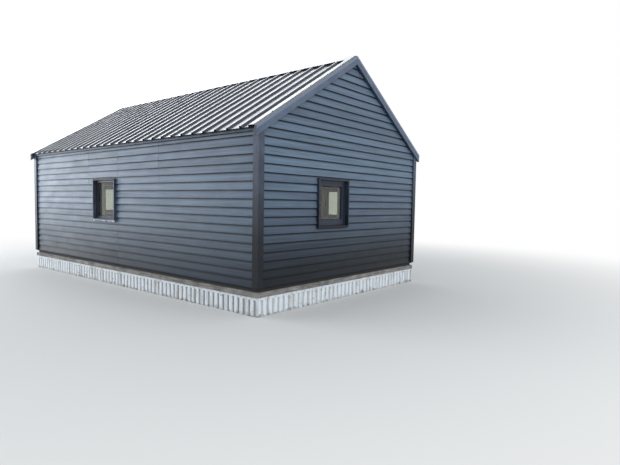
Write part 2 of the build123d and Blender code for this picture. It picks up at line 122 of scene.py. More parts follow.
def linear(hex_colour):
    """An sRGB hex colour as linear red, green and blue."""
    values = np.array([int(hex_colour[i:i + 2], 16) for i in (1, 3, 5)]) / 255
    return tuple(np.where(values <= 0.04045, values / 12.92, ((values + 0.055) / 1.055) ** 2.4))


def length(label, text, default):
    """A size that a user may change, in metres."""
    return FloatProperty(name=label, description=text, default=default, min=0.0, unit="LENGTH")


def colour(label, text, hex_colour):
    """A colour that a user may change."""
    return FloatVectorProperty(
        name=label, description=text, default=linear(hex_colour), size=3, min=0.0, max=1.0, subtype="COLOR"
    )


class BoardSizes(bpy.types.PropertyGroup):
    """Sizes of the weatherboards and their nails."""
    exposure: length("Exposure", "Height of each board that shows", 0.154)
    lap: length("Lap", "Height of each board behind the next", 0.025)
    thickness: length("Thickness", "Thickness of a board", 0.022)
    nose: length("Nose radius", "Rounding of the lower front edge", 0.003)
    gap: length("Joint gap", "Gap between two boards' ends", 0.007)
    edge_gap: length("Edge gap", "Gap round windows and the door", 0.002)
    cup: length("Cup", "Hollow of a board's face", 0.0008)
    wave: length("Wave", "How far a board bends in and out", 0.0005)
    stud_pitch: length("Stud pitch", "Distance between nail rows", 0.6)
    nail_radius: length("Nail radius", "Radius of a nail head", 0.0035)
    upper_joints: IntProperty(
        name="Upper joints", description="First course whose boards have more joints", default=12, min=0
    )


class RoofSizes(bpy.types.PropertyGroup):
    """Sizes of the small parts on the roof."""
    washer: length("Washer radius", "Radius of a roofing screw's washer", 0.009)
    head: length("Head radius", "Radius of a roofing screw's head", 0.0045)
    lap: length("Side lap", "Width of a sheet's edge on the next sheet", 0.016)
    filler: length("Filler depth", "Depth of the foam fillers at the ridge", 0.03)


class OpeningSizes(bpy.types.PropertyGroup):
    """Sizes of the small parts on windows and door."""
    gasket: length("Gasket", "Width of the rubber gaskets", 0.004)
    bead: length("Bead", "Width of the sloping edge round the glass", 0.01)
    lining: length("Lining", "Thickness of the inner window linings", 0.018)
    door_board: length("Door board", "Width of the door's upright boards", 0.114)
    door_board_depth: length("Board depth", "How far the door's boards stand proud", 0.008)


class PlinthSizes(bpy.types.PropertyGroup):
    """Sizes of the small parts on the plinth."""
    groove_pitch: length("Groove pitch", "Distance between the plinth's grooves", 0.1375)
    first_groove: length("First groove", "From the trim's face to the first groove", 0.155)
    screw: length("Screw radius", "Radius of a plinth screw's washer", 0.007)


class ShedColours(bpy.types.PropertyGroup):
    """Colours of the finishes."""
    board_dark: colour("Board, dark", "Stain where the boards took most", "#404c5a")
    board_light: colour("Board, light", "Stain where the boards took least", "#768a9e")
    trim: colour("Trims", "Paint of corner trims and surrounds", "#333a47")
    trim_worn: colour("Trims, worn", "Paint of the trims where it is thin", "#5c6679")
    barge: colour("Barge boards", "Stain of the barge boards", "#465263")
    barge_worn: colour("Barge boards, worn", "Stain of the barge boards where it is thin", "#6b798d")
    roof: colour("Roof", "Coating of the roof steel", "#242b34")
    roof_dust: colour("Roof dust", "Dust on the roof steel", "#4a525d")
    plinth: colour("Plinth", "Coating of the plinth steel", "#eff4f7")
    # Also the colour of the painted shade in the plinth's grooves.
    plinth_dirt_and_shade: colour("Plinth dirt", "Dirt and algae at the plinth's foot", "#6f7068")
    plinth_run: colour("Plinth runs", "Brown runs on the plinth, washed out of the sill", "#8a744f")
    rust: colour("Rust", "Rust at chips in the coating", "#6a3d22")
    sill: colour("Sill", "Weathered timber of the sill", "#a5a19a")
    sill_dark: colour("Sill, dark", "Damp and cracks in the sill", "#5a5651")
    timber: colour("Timber", "Planed framing timber", "#c3a274")
    lining: colour("Lining", "Boards on the walls' inner faces", "#93804a")
    membrane: colour("Membrane", "Black membrane on the walls' outer faces", "#17181a")
    profile: colour("Window profile", "Foil on frames and sashes", "#202835")
    door: colour("Door", "Paint of the door", "#22282e")
    concrete: colour("Concrete", "Concrete of the piers", "#9a9890")
    floor_near: colour("Floor, near", "Studio floor beside the shed", "#c4c3c0")
    floor_below: colour("Floor, below", "What the floor gives back to the shed's undersides", "#454a51")
    glass: colour("Glass", "Tint of each face of a pane", "#c6cbc2")


class ShedSettings(bpy.types.PropertyGroup):
    """All settings of the shed."""
    boards: PointerProperty(type=BoardSizes)
    roof: PointerProperty(type=RoofSizes)
    openings: PointerProperty(type=OpeningSizes)
    plinth: PointerProperty(type=PlinthSizes)
    colours: PointerProperty(type=ShedColours)


def outward(points, faces):
    """The faces of a closed solid, turned over if its signed volume says that they point inwards."""
    triangles = np.array([(f[0], f[i], f[i + 1]) for f in faces for i in range(1, len(f) - 1)])
    a, b, c = points[triangles].transpose(1, 0, 2)
    if np.einsum("ij,ij->", a - points[0], np.cross(b - points[0], c - points[0])) < 0:
        return [face[::-1] for face in faces]
    return faces


def loft(rings, closed=False):
    """Joins corner p of each outline to corner p of the next. An open path gets its end outlines filled."""
    stations, corners = rings.shape[:2]
    here = np.arange(stations if closed else stations - 1)[:, None]
    there = (here + 1) % stations
    corner = np.arange(corners)[None]
    after = (corner + 1) % corners
    here, there = here * corners, there * corners
    quads = [here + corner, here + after, there + after, there + corner]
    faces = np.stack(quads, axis=-1).reshape(-1, 4).tolist()
    if not closed:
        faces.append(list(range(corners))[::-1])
        faces.append(list(range((stations - 1) * corners, stations * corners)))
    points = rings.reshape(-1, 3)
    return points, outward(points, faces)


def carried(outline, stations, axis=0):
    """An outline carried straight along one axis. Its columns are the next two axes in turn: 0, 1, 2, 0."""
    rings = np.empty((len(stations), len(outline), 3))
    rings[..., 0] = np.asarray(stations, float)[:, None]
    rings[..., 1:] = outline
    return loft(np.roll(rings, axis, axis=-1))


def softened(first, second, chamfer):
    """A rectangle's outline between two pairs of limits, with small chamfers at its corners."""
    (a0, a1), (b0, b1), c = first, second, chamfer
    return [
        (a0 + c, b0), (a1 - c, b0), (a1, b0 + c), (a1, b1 - c),
        (a1 - c, b1), (a0 + c, b1), (a0, b1 - c), (a0, b0 + c),
    ]


def around(middle, half):
    """Limits at the same distance on both sides of a middle."""
    return middle - half, middle + half


def turned(profile, sides, axis=2):
    """A round part: each (height, radius) of the profile is a ring of equal steps round the axis."""
    height, radius = np.array(profile, float).T
    angle = 2 * np.pi * np.arange(sides) / sides
    rings = np.empty((len(height), sides, 3))
    rings[..., 0] = height[:, None]
    rings[..., 1] = radius[:, None] * np.cos(angle)
    rings[..., 2] = radius[:, None] * np.sin(angle)
    return loft(np.roll(rings, axis, axis=-1))


def four_sided(low, high, outline):
    """A mitred frame: an outline of (distance outwards, height off the wall) carried round a rectangle."""
    away, out = np.array(outline, float).T
    rings = np.empty((4, len(away), 3))
    corners = [
        (high[0], low[1], 1, -1), (high[0], high[1], 1, 1),
        (low[0], high[1], -1, 1), (low[0], low[1], -1, -1),
    ]
    for ring, (along, height, along_way, up_way) in zip(rings, corners):
        ring[:, 0] = along + along_way * away
        ring[:, 1] = height + up_way * away
        ring[:, 2] = out
    return loft(rings, closed=True)


def placed(local, part):
    """A part moved from a wall's or a slope's own directions to the shed's."""
    origin, axes = local
    points, faces = part
    return origin + points @ axes, faces


def spots(along, up, out):
    """Places from how far they lie along, up and out. Each is an array, or one number for all."""
    return np.stack(np.broadcast_arrays(along, up, out), axis=-1).reshape(-1, 3)


def repeated(part, places):
    """A copy of a part at each place, as one set of points and faces."""
    points, faces = part
    places = np.asarray(places, float).reshape(-1, 3)
    copies = (places[:, None] + points[None]).reshape(-1, 3)
    starts = len(points) * np.arange(len(places))
    return copies, [[corner + start for corner in face] for start in starts for face in faces]


def joined(parts):
    """Several closed solids as one set of points and faces."""
    points = np.concatenate([part[0] for part in parts])
    faces = []
    start = 0
    for part_points, part_faces in parts:
        faces += [[corner + start for corner in face] for face in part_faces]
        start += len(part_points)
    return points, faces


# Edges that turn by less than this look round.
SMOOTH_BELOW = math.radians(32)


def add_piece(name, parts, paint):
    """One object made of closed solids in the shed's own frame, with its finish, riding on the shed."""
    points, faces = joined(parts)
    mesh = bpy.data.meshes.new(name)
    mesh.from_pydata(points.tolist(), [], faces)
    mesh.polygons.foreach_set("use_smooth", np.ones(len(faces), bool))
    mesh.set_sharp_from_angle(angle=SMOOTH_BELOW)
    mesh.materials.append(finish(paint))
    piece = bpy.data.objects.new(name, mesh)
    bpy.context.scene.collection.objects.link(piece)
    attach(piece, BODY)
    return piece


def add(tree, kind, inputs=None, take=0, **settings):
    """Adds one shader node with its own settings, feeds its inputs and returns one of its outputs."""
    node = tree.nodes.new("ShaderNode" + kind)
    for key, value in settings.items():
        setattr(node, key, value)
    feed(tree, node, inputs or {})
    return node.outputs[take]


def feed(tree, node, inputs):
    """Gives a node's inputs their values or links."""
    for key, value in inputs.items():
        if isinstance(value, bpy.types.NodeSocket):
            tree.links.new(value, node.inputs[key])
        else:
            node.inputs[key].default_value = value


WHITE = (1.0, 1.0, 1.0, 1.0)


def rgba(values, share=1.0):
    """A share of red, green and blue, none above 1, with full alpha."""
    return (*(min(1.0, share * value) for value in values), 1.0)


def tint(name, share=1.0):
    """One of the shed's colour settings, or a share of it, for a colour socket."""
    return rgba(getattr(bpy.context.scene.shed.colours, name), share)


def coat(tree, base, roughness, height, strength, depth, **others):
    """Gives the surface its colour, roughness and relief. The depth is that of a height of 1, in metres."""
    relief = add(tree, "Bump", {"Height": height, "Strength": strength, "Distance": depth})
    values = {"Base Color": base, "Roughness": roughness, "Normal": relief, **others}
    feed(tree, tree.nodes["Principled BSDF"], values)


def blend(tree, mark, first, second, low=0.0, high=1.0, most=1.0):
    """The first colour where a mark is at its low limit, turning towards the second up to its high limit."""
    amount = add(tree, "MapRange", {"Value": mark, "From Min": low, "From Max": high, "To Max": most})
    return add(tree, "Mix", {0: amount, 6: first, 7: second}, 2, data_type="RGBA")


def streaks(tree, place, per_metre, detail):
    """Noise drawn out along an axis, with so many marks to the metre each way: 200 are marks 5 mm wide."""
    stretched = add(tree, "Mapping", {"Vector": place, "Scale": per_metre})
    return add(tree, "TexNoise", {"Vector": stretched, "Scale": 1.0, "Detail": detail})


def from_middle(tree, vector, axis="X"):
    """How far a vector reaches along one axis, whichever the way."""
    sizes = add(tree, "VectorMath", {0: vector}, operation="ABSOLUTE")
    return add(tree, "SeparateXYZ", {0: sizes}, axis)


def beyond(tree, place, limits):
    """How far a place lies outside a rectangle round the shed's middle. It is less than nothing inside."""
    past = [
        add(tree, "Math", {0: from_middle(tree, place, axis), 1: limit}, operation="SUBTRACT")
        for axis, limit in zip("XY", limits)
    ]
    return add(tree, "Math", dict(enumerate(past)), operation="MAXIMUM")


# A finish that lies on one face alone starts this far inside it.
FACE_MARGIN = 0.001


def by_side(tree, long_wall, gable):
    """One value on faces that look out of the long walls, another on those that look out of the gables."""
    endwise = from_middle(tree, add(tree, "NewGeometry", take="Normal"))
    turn = {"From Min": 0.4, "From Max": 0.6, "To Min": long_wall, "To Max": gable}
    return add(tree, "MapRange", {"Value": endwise, **turn})


def damp_and_shade_foot(tree, place, least, start, reach):
    """How much of a colour the darkening near the ground leaves, painted shade with some wetness: the least
    below the start, all at the reach.
    """
    height = add(tree, "SeparateXYZ", {0: place}, "Z")
    limits = {"Value": height, "From Min": start, "From Max": reach, "To Min": least}
    return add(tree, "MapRange", limits, interpolation_type="SMOOTHSTEP")


def weatherboard(tree, place):
    """Fine sawn spruce, factory stained. Satin blue-grey, level grain, each board a little different."""
    exposure = bpy.context.scene.shed.boards.exposure
    grain = add(tree, "Attribute", take="Vector", attribute_name="grain")
    tone = add(tree, "Attribute", take="Fac", attribute_name="tone")
    # Grain lines are about 5 mm apart and 300 mm long; streaks of stain 40 mm wide and 1.4 m long.
    fine = streaks(tree, grain, (3.3, 200.0, 200.0), 3.0)
    streak = streaks(tree, grain, (0.7, 25.0, 25.0), 2.0)
    cloud = add(tree, "TexNoise", {"Vector": grain, "Scale": 2.2, "Detail": 3.0})
    lines = add(tree, "Math", {0: fine, 1: 0.5}, operation="MULTIPLY")
    sawn = add(tree, "Math", {0: streak, 1: 0.55, 2: lines}, operation="MULTIPLY_ADD")
    taken = add(tree, "Math", {0: tone, 1: 0.16, 2: sawn}, operation="MULTIPLY_ADD")
    stain = blend(tree, taken, tint("board_dark"), tint("board_light"), 0.26, 0.95)
    # Some boards lean to violet and some to green-blue, as the stain took differently.
    draw = add(tree, "TexWhiteNoise", {"W": tone}, "Value", noise_dimensions="1D")
    lean = add(tree, "MapRange", {"Value": draw, "To Min": 0.493, "To Max": 0.51})
    # Darker towards the foot, painted shade with some wetness, and more painted shade on the gables than on
    # the long walls.
    least, start, reach = (by_side(tree, *pair) for pair in ((0.22, 0.08), (0.45, 0.6), (2.1, 2.3)))
    damp_and_shade = damp_and_shade_foot(tree, place, least, start, reach)
    # Painted shade under each nose: a dark strip about 30 mm high, with a soft lower edge, where the nose
    # shades the board below.
    height = add(tree, "SeparateXYZ", {0: place}, "Z")
    course = add(tree, "Math", {0: height, 1: BOARD_FOOT}, operation="SUBTRACT")
    in_board = add(tree, "Math", {0: course, 1: exposure}, operation="FLOORED_MODULO")
    strip = {"From Min": exposure - 0.042, "From Max": exposure - 0.016, "To Min": 1.0, "To Max": 0.15}
    painted_nose_shade = add(tree, "MapRange", {"Value": in_board, **strip})
    shade = add(tree, "Math", {0: damp_and_shade, 1: painted_nose_shade}, operation="MULTIPLY")
    base = add(tree, "HueSaturation", {"Color": stain, "Hue": lean, "Value": shade})
    satin = {"From Min": 0.3, "From Max": 0.7, "To Min": 0.34, "To Max": 0.48}
    gloss = add(tree, "MapRange", {"Value": cloud, **satin})
    coat(tree, base, gloss, sawn, 0.35, 0.0012, IOR=1.26)


def painted_board(tree, place, paint, per_metre, lit_long_walls=False):
    """Planed spruce under dark paint. Satin and even, with a faint grain along the board."""
    grain = streaks(tree, place, per_metre, 3.0)
    cloud = add(tree, "TexNoise", {"Vector": place, "Scale": 3.0, "Detail": 3.0})
    wear = add(tree, "Math", {0: grain, 1: cloud}, operation="MULTIPLY")
    coated = blend(tree, wear, tint(paint), tint(paint + "_worn"), 0.1, 0.45)
    least = 0.14
    if lit_long_walls:
        # Painted light and shade: surrounds in the long walls keep their colour down to the ground, the
        # gables' get deeper painted shade towards the foot.
        gable_zone = {"From Min": HALF_LENGTH - 0.4, "From Max": HALF_LENGTH - 0.3}
        by_wall = {"To Min": 1.0, "To Max": 0.1, **gable_zone}
        least = add(tree, "MapRange", {"Value": from_middle(tree, place), **by_wall})
    # Painted shade: darker from 3.3 m down to 1.1 m above the ground, darkest below that.
    damp_and_shade = damp_and_shade_foot(tree, place, least, 1.1, 3.3)
    # The sawn lower ends of the barge boards are darker: end grain that took more of the stain, and painted
    # shade under the roof's overhang.
    across = from_middle(tree, place, "Y")
    end = add(tree, "Math", {0: across, 1: BARGE_END - 2 * FACE_MARGIN}, operation="GREATER_THAN")
    end_stain_and_shade = add(tree, "MapRange", {"Value": end, "To Min": 1.0, "To Max": 0.4})
    shade = add(tree, "Math", {0: damp_and_shade, 1: end_stain_and_shade}, operation="MULTIPLY")
    base = add(tree, "HueSaturation", {"Color": coated, "Value": shade})
    gloss = add(tree, "MapRange", {"Value": cloud, "To Min": 0.36, "To Max": 0.52})
    coat(tree, base, gloss, grain, 0.3, 0.0008, IOR=1.32)


def roof_steel(tree, place):
    """Coil-coated steel sheet. Satin anthracite that mirrors a bright sky at low angles, dusty in streaks."""
    # Rain leaves streaks 40 mm wide down the slope.
    streak = streaks(tree, place, (25.0, 1.1, 1.1), 4.0)
    cloud = add(tree, "TexNoise", {"Vector": place, "Scale": 1.7, "Detail": 5.0})
    dust = add(tree, "Math", {0: streak, 1: cloud}, operation="MULTIPLY")
    dusty = blend(tree, dust, tint("roof"), tint("roof_dust"), 0.15, 0.5, most=0.5)
    # The verge flashings' outer legs are coated like the barge boards below them.
    along = from_middle(tree, place)
    leg = add(tree, "Math", {0: along, 1: VERGE_FACE - FACE_MARGIN}, operation="GREATER_THAN")
    base = blend(tree, leg, dusty, tint("barge_worn"))
    gloss = add(tree, "MapRange", {"Value": dust, "From Max": 0.5, "To Min": 0.28, "To Max": 0.4})
    # The sheet is a little uneven between its fixings.
    coat(tree, base, gloss, cloud, 0.25, 0.004, IOR=1.5)


PLINTH_FACES = (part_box("plinth_sheet_right")[1][0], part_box("plinth_sheet_back")[1][1])


def plinth_steel(tree, place):
    """White coated trapezoidal steel, used before: scuffed, algae and earth at the foot, rust at chips."""
    # Blots are 110 mm wide, chips up to 22 mm, and grimy runs 26 mm wide and 400 mm long.
    height = add(tree, "SeparateXYZ", {0: place}, "Z")
    blot = add(tree, "TexNoise", {"Vector": place, "Scale": 9.0, "Detail": 6.0, "Roughness": 0.65})
    fine = add(tree, "TexNoise", {"Vector": place, "Scale": 45.0, "Detail": 4.0})
    # Earth splashed up to about 90 mm, its edge broken by the blots.
    rise = add(tree, "MapRange", {"Value": height, "From Max": 0.16, "To Min": 0.4, "To Max": -0.1})
    splash = add(tree, "Math", {0: blot, 1: rise}, operation="ADD")
    foot = add(tree, "MapRange", {"Value": splash, "From Min": 0.7, "From Max": 0.95, "To Max": 0.8})
    runs = streaks(tree, place, (38.0, 38.0, 2.5), 3.0)
    stain = add(tree, "MapRange", {"Value": runs, "From Min": 0.54, "From Max": 0.76, "To Max": 0.5})
    # Painted shade in the grooves, deeper in the long walls' than in the gables'.
    inwards = {"From Min": -0.001, "From Max": -0.018, "To Max": by_side(tree, 0.85, 0.45)}
    groove = add(tree, "MapRange", {"Value": beyond(tree, place, PLINTH_FACES), **inwards})
    marks = add(tree, "Math", {0: foot, 1: stain}, operation="MAXIMUM")
    dirt_and_groove_shade = add(tree, "Math", {0: marks, 1: groove}, operation="MAXIMUM")
    dirty_and_shaded = blend(tree, dirt_and_groove_shade, tint("plinth"), tint("plinth_dirt_and_shade"))
    # Rain has washed brown out of the sill in a few places, in faint runs 140 mm wide.
    wash = streaks(tree, place, (7.0, 7.0, 1.2), 3.0)
    brown = blend(tree, wash, dirty_and_shaded, tint("plinth_run"), 0.54, 0.72, most=0.5)
    chipped = add(tree, "Math", {0: fine, 1: blot}, operation="MULTIPLY")
    base = blend(tree, chipped, brown, tint("rust"), 0.355, 0.385)
    gloss = add(tree, "MapRange", {"Value": dirt_and_groove_shade, "To Min": 0.38, "To Max": 0.8})
    coat(tree, base, gloss, fine, 0.2, 0.001, IOR=1.5)


def sill_timber(tree, place):
    """Sawn softwood left to weather. Matt silver-brown, with level cracks, wet patches and earth stains."""
    # Grain lines are 6 mm high, cracks 14 mm, and both run level.
    grain = streaks(tree, place, (3.0, 3.0, 160.0), 5.0)
    crack = streaks(tree, place, (1.3, 1.3, 70.0), 4.0)
    patch = add(tree, "TexNoise", {"Vector": place, "Scale": 4.0, "Detail": 5.0})
    cracks = add(tree, "MapRange", {"Value": crack, "From Min": 0.58, "From Max": 0.66})
    tone = add(tree, "Math", {0: grain, 1: patch}, operation="MULTIPLY")
    wood = blend(tree, tone, tint("sill_dark"), tint("sill"), 0.12, 0.4)
    base = blend(tree, cracks, wood, tint("sill_dark"))
    depth = add(tree, "Math", {0: grain, 1: cracks}, operation="SUBTRACT")
    coat(tree, base, 0.85, depth, 0.6, 0.0025)


def planed_timber(tree, place):
    """Planed pine framing. Pale honey, matt, with soft growth rings and darker late wood."""
    # Growth rings are 17 mm apart.
    grain = streaks(tree, place, (2.0, 2.0, 60.0), 3.0)
    base = blend(tree, grain, tint("timber", 0.55), tint("timber"), 0.35, 0.65)
    coat(tree, base, 0.6, grain, 0.2, 0.0005)


def wall_panel(tree, place):
    """Flake board inside and breather membrane outside. Matt brown flakes, and a dull black skin."""
    # Flakes are 36 mm wide.
    flakes = add(tree, "TexVoronoi", {"Vector": place, "Scale": 28.0}, "Color")
    flake_tone = add(tree, "SeparateColor", {0: flakes})
    board = blend(tree, flake_tone, tint("lining", 0.75), tint("lining"))
    inset = WALL_INSET + FACE_MARGIN
    past = beyond(tree, place, (HALF_LENGTH - inset, HALF_WIDTH - inset))
    outside = add(tree, "Math", {0: past, 1: 0.0}, operation="GREATER_THAN")
    base = blend(tree, outside, board, tint("membrane"))
    coat(tree, base, 0.7, flake_tone, 0.15, 0.0006)


def window_profile(tree, place):
    """Plastic window profile under an embossed foil. Dark grey, satin, with a fine even texture."""
    # The foil's grain is 0.3 mm wide; it is drawn at 2 mm so that it shows.
    emboss = add(tree, "TexNoise", {"Vector": place, "Scale": 500.0, "Detail": 2.0})
    cloud = add(tree, "TexNoise", {"Vector": place, "Scale": 6.0, "Detail": 3.0})
    base = blend(tree, cloud, tint("profile"), tint("profile", 1.5))
    coat(tree, base, 0.38, emboss, 0.25, 0.0003, IOR=1.36)


def clear_glass(tree, place):
    """Clear float glass with a breath of dust. It mirrors the sky and lets the room show."""
    dust = add(tree, "TexNoise", {"Vector": place, "Scale": 5.0, "Detail": 5.0})
    film = add(tree, "MapRange", {"Value": dust, "From Min": 0.4, "From Max": 0.8, "To Max": 0.03})
    surface = tree.nodes["Principled BSDF"]
    values = {"Base Color": tint("glass"), "Roughness": film, "IOR": 1.45, "Transmission Weight": 1.0}
    feed(tree, surface, values)
    # Daylight passes the pane without being bent.
    clear = add(tree, "BsdfTransparent", {0: tint("glass")})
    shadow = add(tree, "LightPath", take="Is Shadow Ray")
    mixed = add(tree, "MixShader", {0: shadow, 1: surface.outputs[0], 2: clear})
    feed(tree, tree.nodes["Material Output"], {"Surface": mixed})


def cast_concrete(tree, place):
    """Cast concrete block. Matt grey with a pore every 11 mm and a mottled skin."""
    pores = add(tree, "TexVoronoi", {"Vector": place, "Scale": 90.0}, "Distance")
    mottle = add(tree, "TexNoise", {"Vector": place, "Scale": 14.0, "Detail": 6.0})
    base = blend(tree, mottle, tint("concrete", 0.6), tint("concrete"))
    coat(tree, base, 0.9, pores, 0.3, 0.002)


def door_paint(tree, place):
    """Moulded door skin under satin paint. Even dark grey with faint brush marks, 4 mm wide, up and down."""
    brush = streaks(tree, place, (260.0, 260.0, 5.0), 3.0)
    base = blend(tree, brush, tint("door"), tint("door", 1.35))
    coat(tree, base, 0.42, brush, 0.2, 0.0004, IOR=1.5)


def bare_steel(tree, place, hex_colour, roughness):
    """Brushed or zinc plated steel. Grey metal whose level scratches, 1 mm apart, spread its highlights."""
    scratch = streaks(tree, place, (60.0, 60.0, 900.0), 2.0)
    gloss = add(tree, "MapRange", {"Value": scratch, "To Min": roughness - 0.08, "To Max": roughness + 0.08})
    coat(tree, rgba(linear(hex_colour)), gloss, scratch, 0.1, 0.0002, Metallic=1.0)


def plain_skin(tree, place, hex_colour, roughness, per_metre):
    """A moulded, foamed or powder coated skin. One colour, mottled a little, with a fine even surface."""
    grain = add(tree, "TexNoise", {"Vector": place, "Scale": per_metre, "Detail": 3.0})
    base = blend(tree, grain, rgba(linear(hex_colour)), rgba(linear(hex_colour), 1.25))
    coat(tree, base, roughness, grain, 0.2, 0.0004)


# How far from the shed's middle the floor starts to fade, and where it is white
FLOOR_FADE = (6.5, 17.0)


def studio_paper(tree, place):
    """Matt studio paper: pale grey beside the shed, fading with distance into the white of the background.

    The light that it throws up on the shed is that of darker ground.
    """
    distance = add(tree, "VectorMath", {0: place}, "Value", operation="LENGTH")
    limits = {"Value": distance, "From Min": FLOOR_FADE[0], "From Max": FLOOR_FADE[1]}
    fade = add(tree, "MapRange", limits, interpolation_type="SMOOTHSTEP")
    surface = tree.nodes["Principled BSDF"]
    feed(tree, surface, {"Base Color": tint("floor_near"), "Roughness": 0.9, "Specular IOR Level": 0.1})
    white = add(tree, "Emission", {"Color": WHITE, "Strength": 1.0})
    seen = add(tree, "MixShader", {0: fade, 1: surface.outputs[0], 2: white})
    below = add(tree, "BsdfDiffuse", {0: tint("floor_below")})
    soft = add(tree, "LightPath", take="Is Diffuse Ray")
    mixed = add(tree, "MixShader", {0: soft, 1: seen, 2: below})
    feed(tree, tree.nodes["Material Output"], {"Surface": mixed})


# Grain of boards to the metre: lines 6 mm wide and 250 mm long, up and down or along the board
UPRIGHT_GRAIN = (180.0, 180.0, 4.0)
LEVEL_GRAIN = (4.0, 30.0, 180.0)

# Each finish: its material's name, the function that draws it and what that takes
FINISHES = {
    "weatherboard": ("stained spruce weatherboard", weatherboard),
    "upright_board": ("painted upright board", painted_board, "trim", UPRIGHT_GRAIN),
    "level_board": ("painted level board", painted_board, "trim", LEVEL_GRAIN),
    # The surround's last value leaves the painted shade off the long walls' surrounds, painted light, and
    # deepens it on the gables'.
    "surround": ("painted window surround", painted_board, "trim", UPRIGHT_GRAIN, True),
    "barge_board": ("stained barge board", painted_board, "barge", LEVEL_GRAIN),
    "roof_steel": ("coil-coated roofing steel", roof_steel),
    "plinth_steel": ("white coated plinth steel", plinth_steel),
    "sill_timber": ("weathered sawn softwood", sill_timber),
    "timber": ("planed pine framing", planed_timber),
    "wall_panel": ("flake board with membrane", wall_panel),
    "profile": ("foiled window profile", window_profile),
    "glass": ("clear float glass", clear_glass),
    "concrete": ("cast concrete block", cast_concrete),
    "door_paint": ("painted door boards", door_paint),
    "brushed_steel": ("brushed stainless steel", bare_steel, "#a5a6a4", 0.34),
    "zinc": ("zinc plated steel", bare_steel, "#8d9195", 0.42),
    "dark_steel": ("powder coated steel cap", plain_skin, "#1a1f27", 0.7, 90.0),
    "pale_steel_painted_light": ("pale coated steel drip", plain_skin, "#c6ced8", 0.45, 60.0),
    "painted_screw": ("powder coated screw", plain_skin, "#22272c", 0.35, 400.0),
    "rubber": ("black gasket rubber", plain_skin, "#101113", 0.6, 600.0),
    "white_plastic": ("white packer plastic", plain_skin, "#e6eaee", 0.45, 120.0),
    "reveal_paint": ("painted window lining", plain_skin, "#eceee6", 0.5, 40.0),
    "foam": ("dark foam filler", plain_skin, "#1c1d1f", 0.9, 250.0),
    "studio_paper": ("matt studio paper", studio_paper),
}
made = {}


def finish(name):
    """One of the finishes, made when it is first asked for. Its patterns lie on Object coordinates."""
    if name not in made:
        label, draw, *details = FINISHES[name]
        made[name] = bpy.data.materials.new(label)
        made[name].use_nodes = True
        tree = made[name].node_tree
        draw(tree, add(tree, "TexCoord", take="Object"), *details)
    return made[name]


# The frame's nodes, by how their names start, under their finish
NODE_FINISHES = {
    "barge_board": ("barge_boards",),
    "weatherboard": ("cladding",),
    "upright_board": ("corner_trims", "door_frame"),
    "brushed_steel": ("door_handle",),
    "door_paint": ("door_leaf",),
    "level_board": ("fascia",),
    "timber": ("floor", "rafters", "ridge_board", "roof_battens"),
    "concrete": ("foundation",),
    "plinth_steel": ("plinth",),
    "roof_steel": ("ridge_cap", "roof_sheet", "verge"),
    "sill_timber": ("sill",),
    "wall_panel": ("wall",),
    "surround": ("window_casings",),
    "profile": ("window_frame", "window_sashes"),
    "glass": ("window_glass",),
}


class SHED_OT_finish_frame(bpy.types.Operator):
    """Gives every piece of the frame its finish"""
    bl_idname = "shed.finish_frame"
    bl_label = "Finish the frame"

    def execute(self, context):
        for node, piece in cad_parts.items():
            paint = finish(next(name for name, starts in NODE_FINISHES.items() if node.startswith(starts)))
            if not piece.material_slots:
                piece.data.materials.append(paint)
            for slot in piece.material_slots:
                slot.material = paint
        return {"FINISHED"}


# Joints in every course, and the further ones that only the upper courses have, along each wall
SEAMS = {"front": [-0.025], "right": [], "back": [0.14], "left": []}
UPPER_SEAMS = {"front": [-1.42, 1.62], "right": [], "back": [-2.7, 2.45], "left": []}
# How far the boards stop below the roof sheets, how often a board is bent, and a reach past every wall's end
UNDER_SHEET = 0.003
STATION = 0.4
NO_LIMIT = 9.0
RAKE_TOP = PAN_APEX - (SHEET_GAUGE + UNDER_SHEET) / SLOPE_COS
# A board's slow bends, in radians to the metre: up and down, in and out, and how far its draw shifts them
SAG_RATE, BOW_RATE, PHASE = 2.1, 2.7, 6.3
# How far a draw moves a board's grain along it, and each course its grain up, in metres
GRAIN_ALONG, GRAIN_UP = 40.0, 3.1
RANDOM_SEED = 17


def rake_reach(height):
    """Half the gable's width at a height, up to the boards' ends under the roof sheet's pans."""
    return np.maximum((RAKE_TOP - height) / SLOPE_TAN, 0.0)


def wall_openings(side, gap):
    """What is cut out of a wall's boards: (left, right, foot, head) of each window surround and the door."""
    low, high = wall_box(side, "window_frame_" + side)
    edge = low[1] - SURROUND_FOOT + gap
    openings = [(low[0] - edge, high[0] + edge, low[1] - edge, high[1] + edge)]
    if side == "back":
        low, high = wall_box(side, "door_frame")
        openings.append((low[0] - gap, high[0] + gap, 0.0, high[1] + gap))
    return openings


def board_outline(low, high, foot, sizes):
    """The cross-section of a board between two heights, as (height, out) pairs.

    The face leans in by one thickness over the exposure, is hollow by a sine of the cup, and ends below in a
    quarter round. The back runs parallel to the face until it meets the wall panel.
    """
    lean = sizes.thickness / sizes.exposure
    back_limit = -WALL_INSET + 3 * sizes.wave
    nose_marks = np.array([0.0, 0.15, 0.5, 1.0]) * sizes.nose
    face_marks = np.array([0.25, 0.5, 0.75, 1.0]) * sizes.exposure
    heights = foot + np.concatenate([nose_marks, face_marks])
    heights = np.concatenate([[low], heights[(heights > low) & (heights < high)], [high]])
    above = heights - foot
    into_nose = sizes.nose - np.minimum(above, sizes.nose)
    round_off = sizes.nose - np.sqrt(np.maximum(sizes.nose ** 2 - into_nose ** 2, 0.0))
    hollow = sizes.cup * np.sin(np.pi * np.minimum(above / sizes.exposure, 1.0))
    face = -BOARD_INSET - lean * above - round_off - hollow
    back = np.maximum(-BOARD_INSET - sizes.thickness - lean * above, back_limit)
    return np.concatenate([
        np.stack([heights, back], axis=1),
        np.stack([heights, face], axis=1)[::-1],
    ])


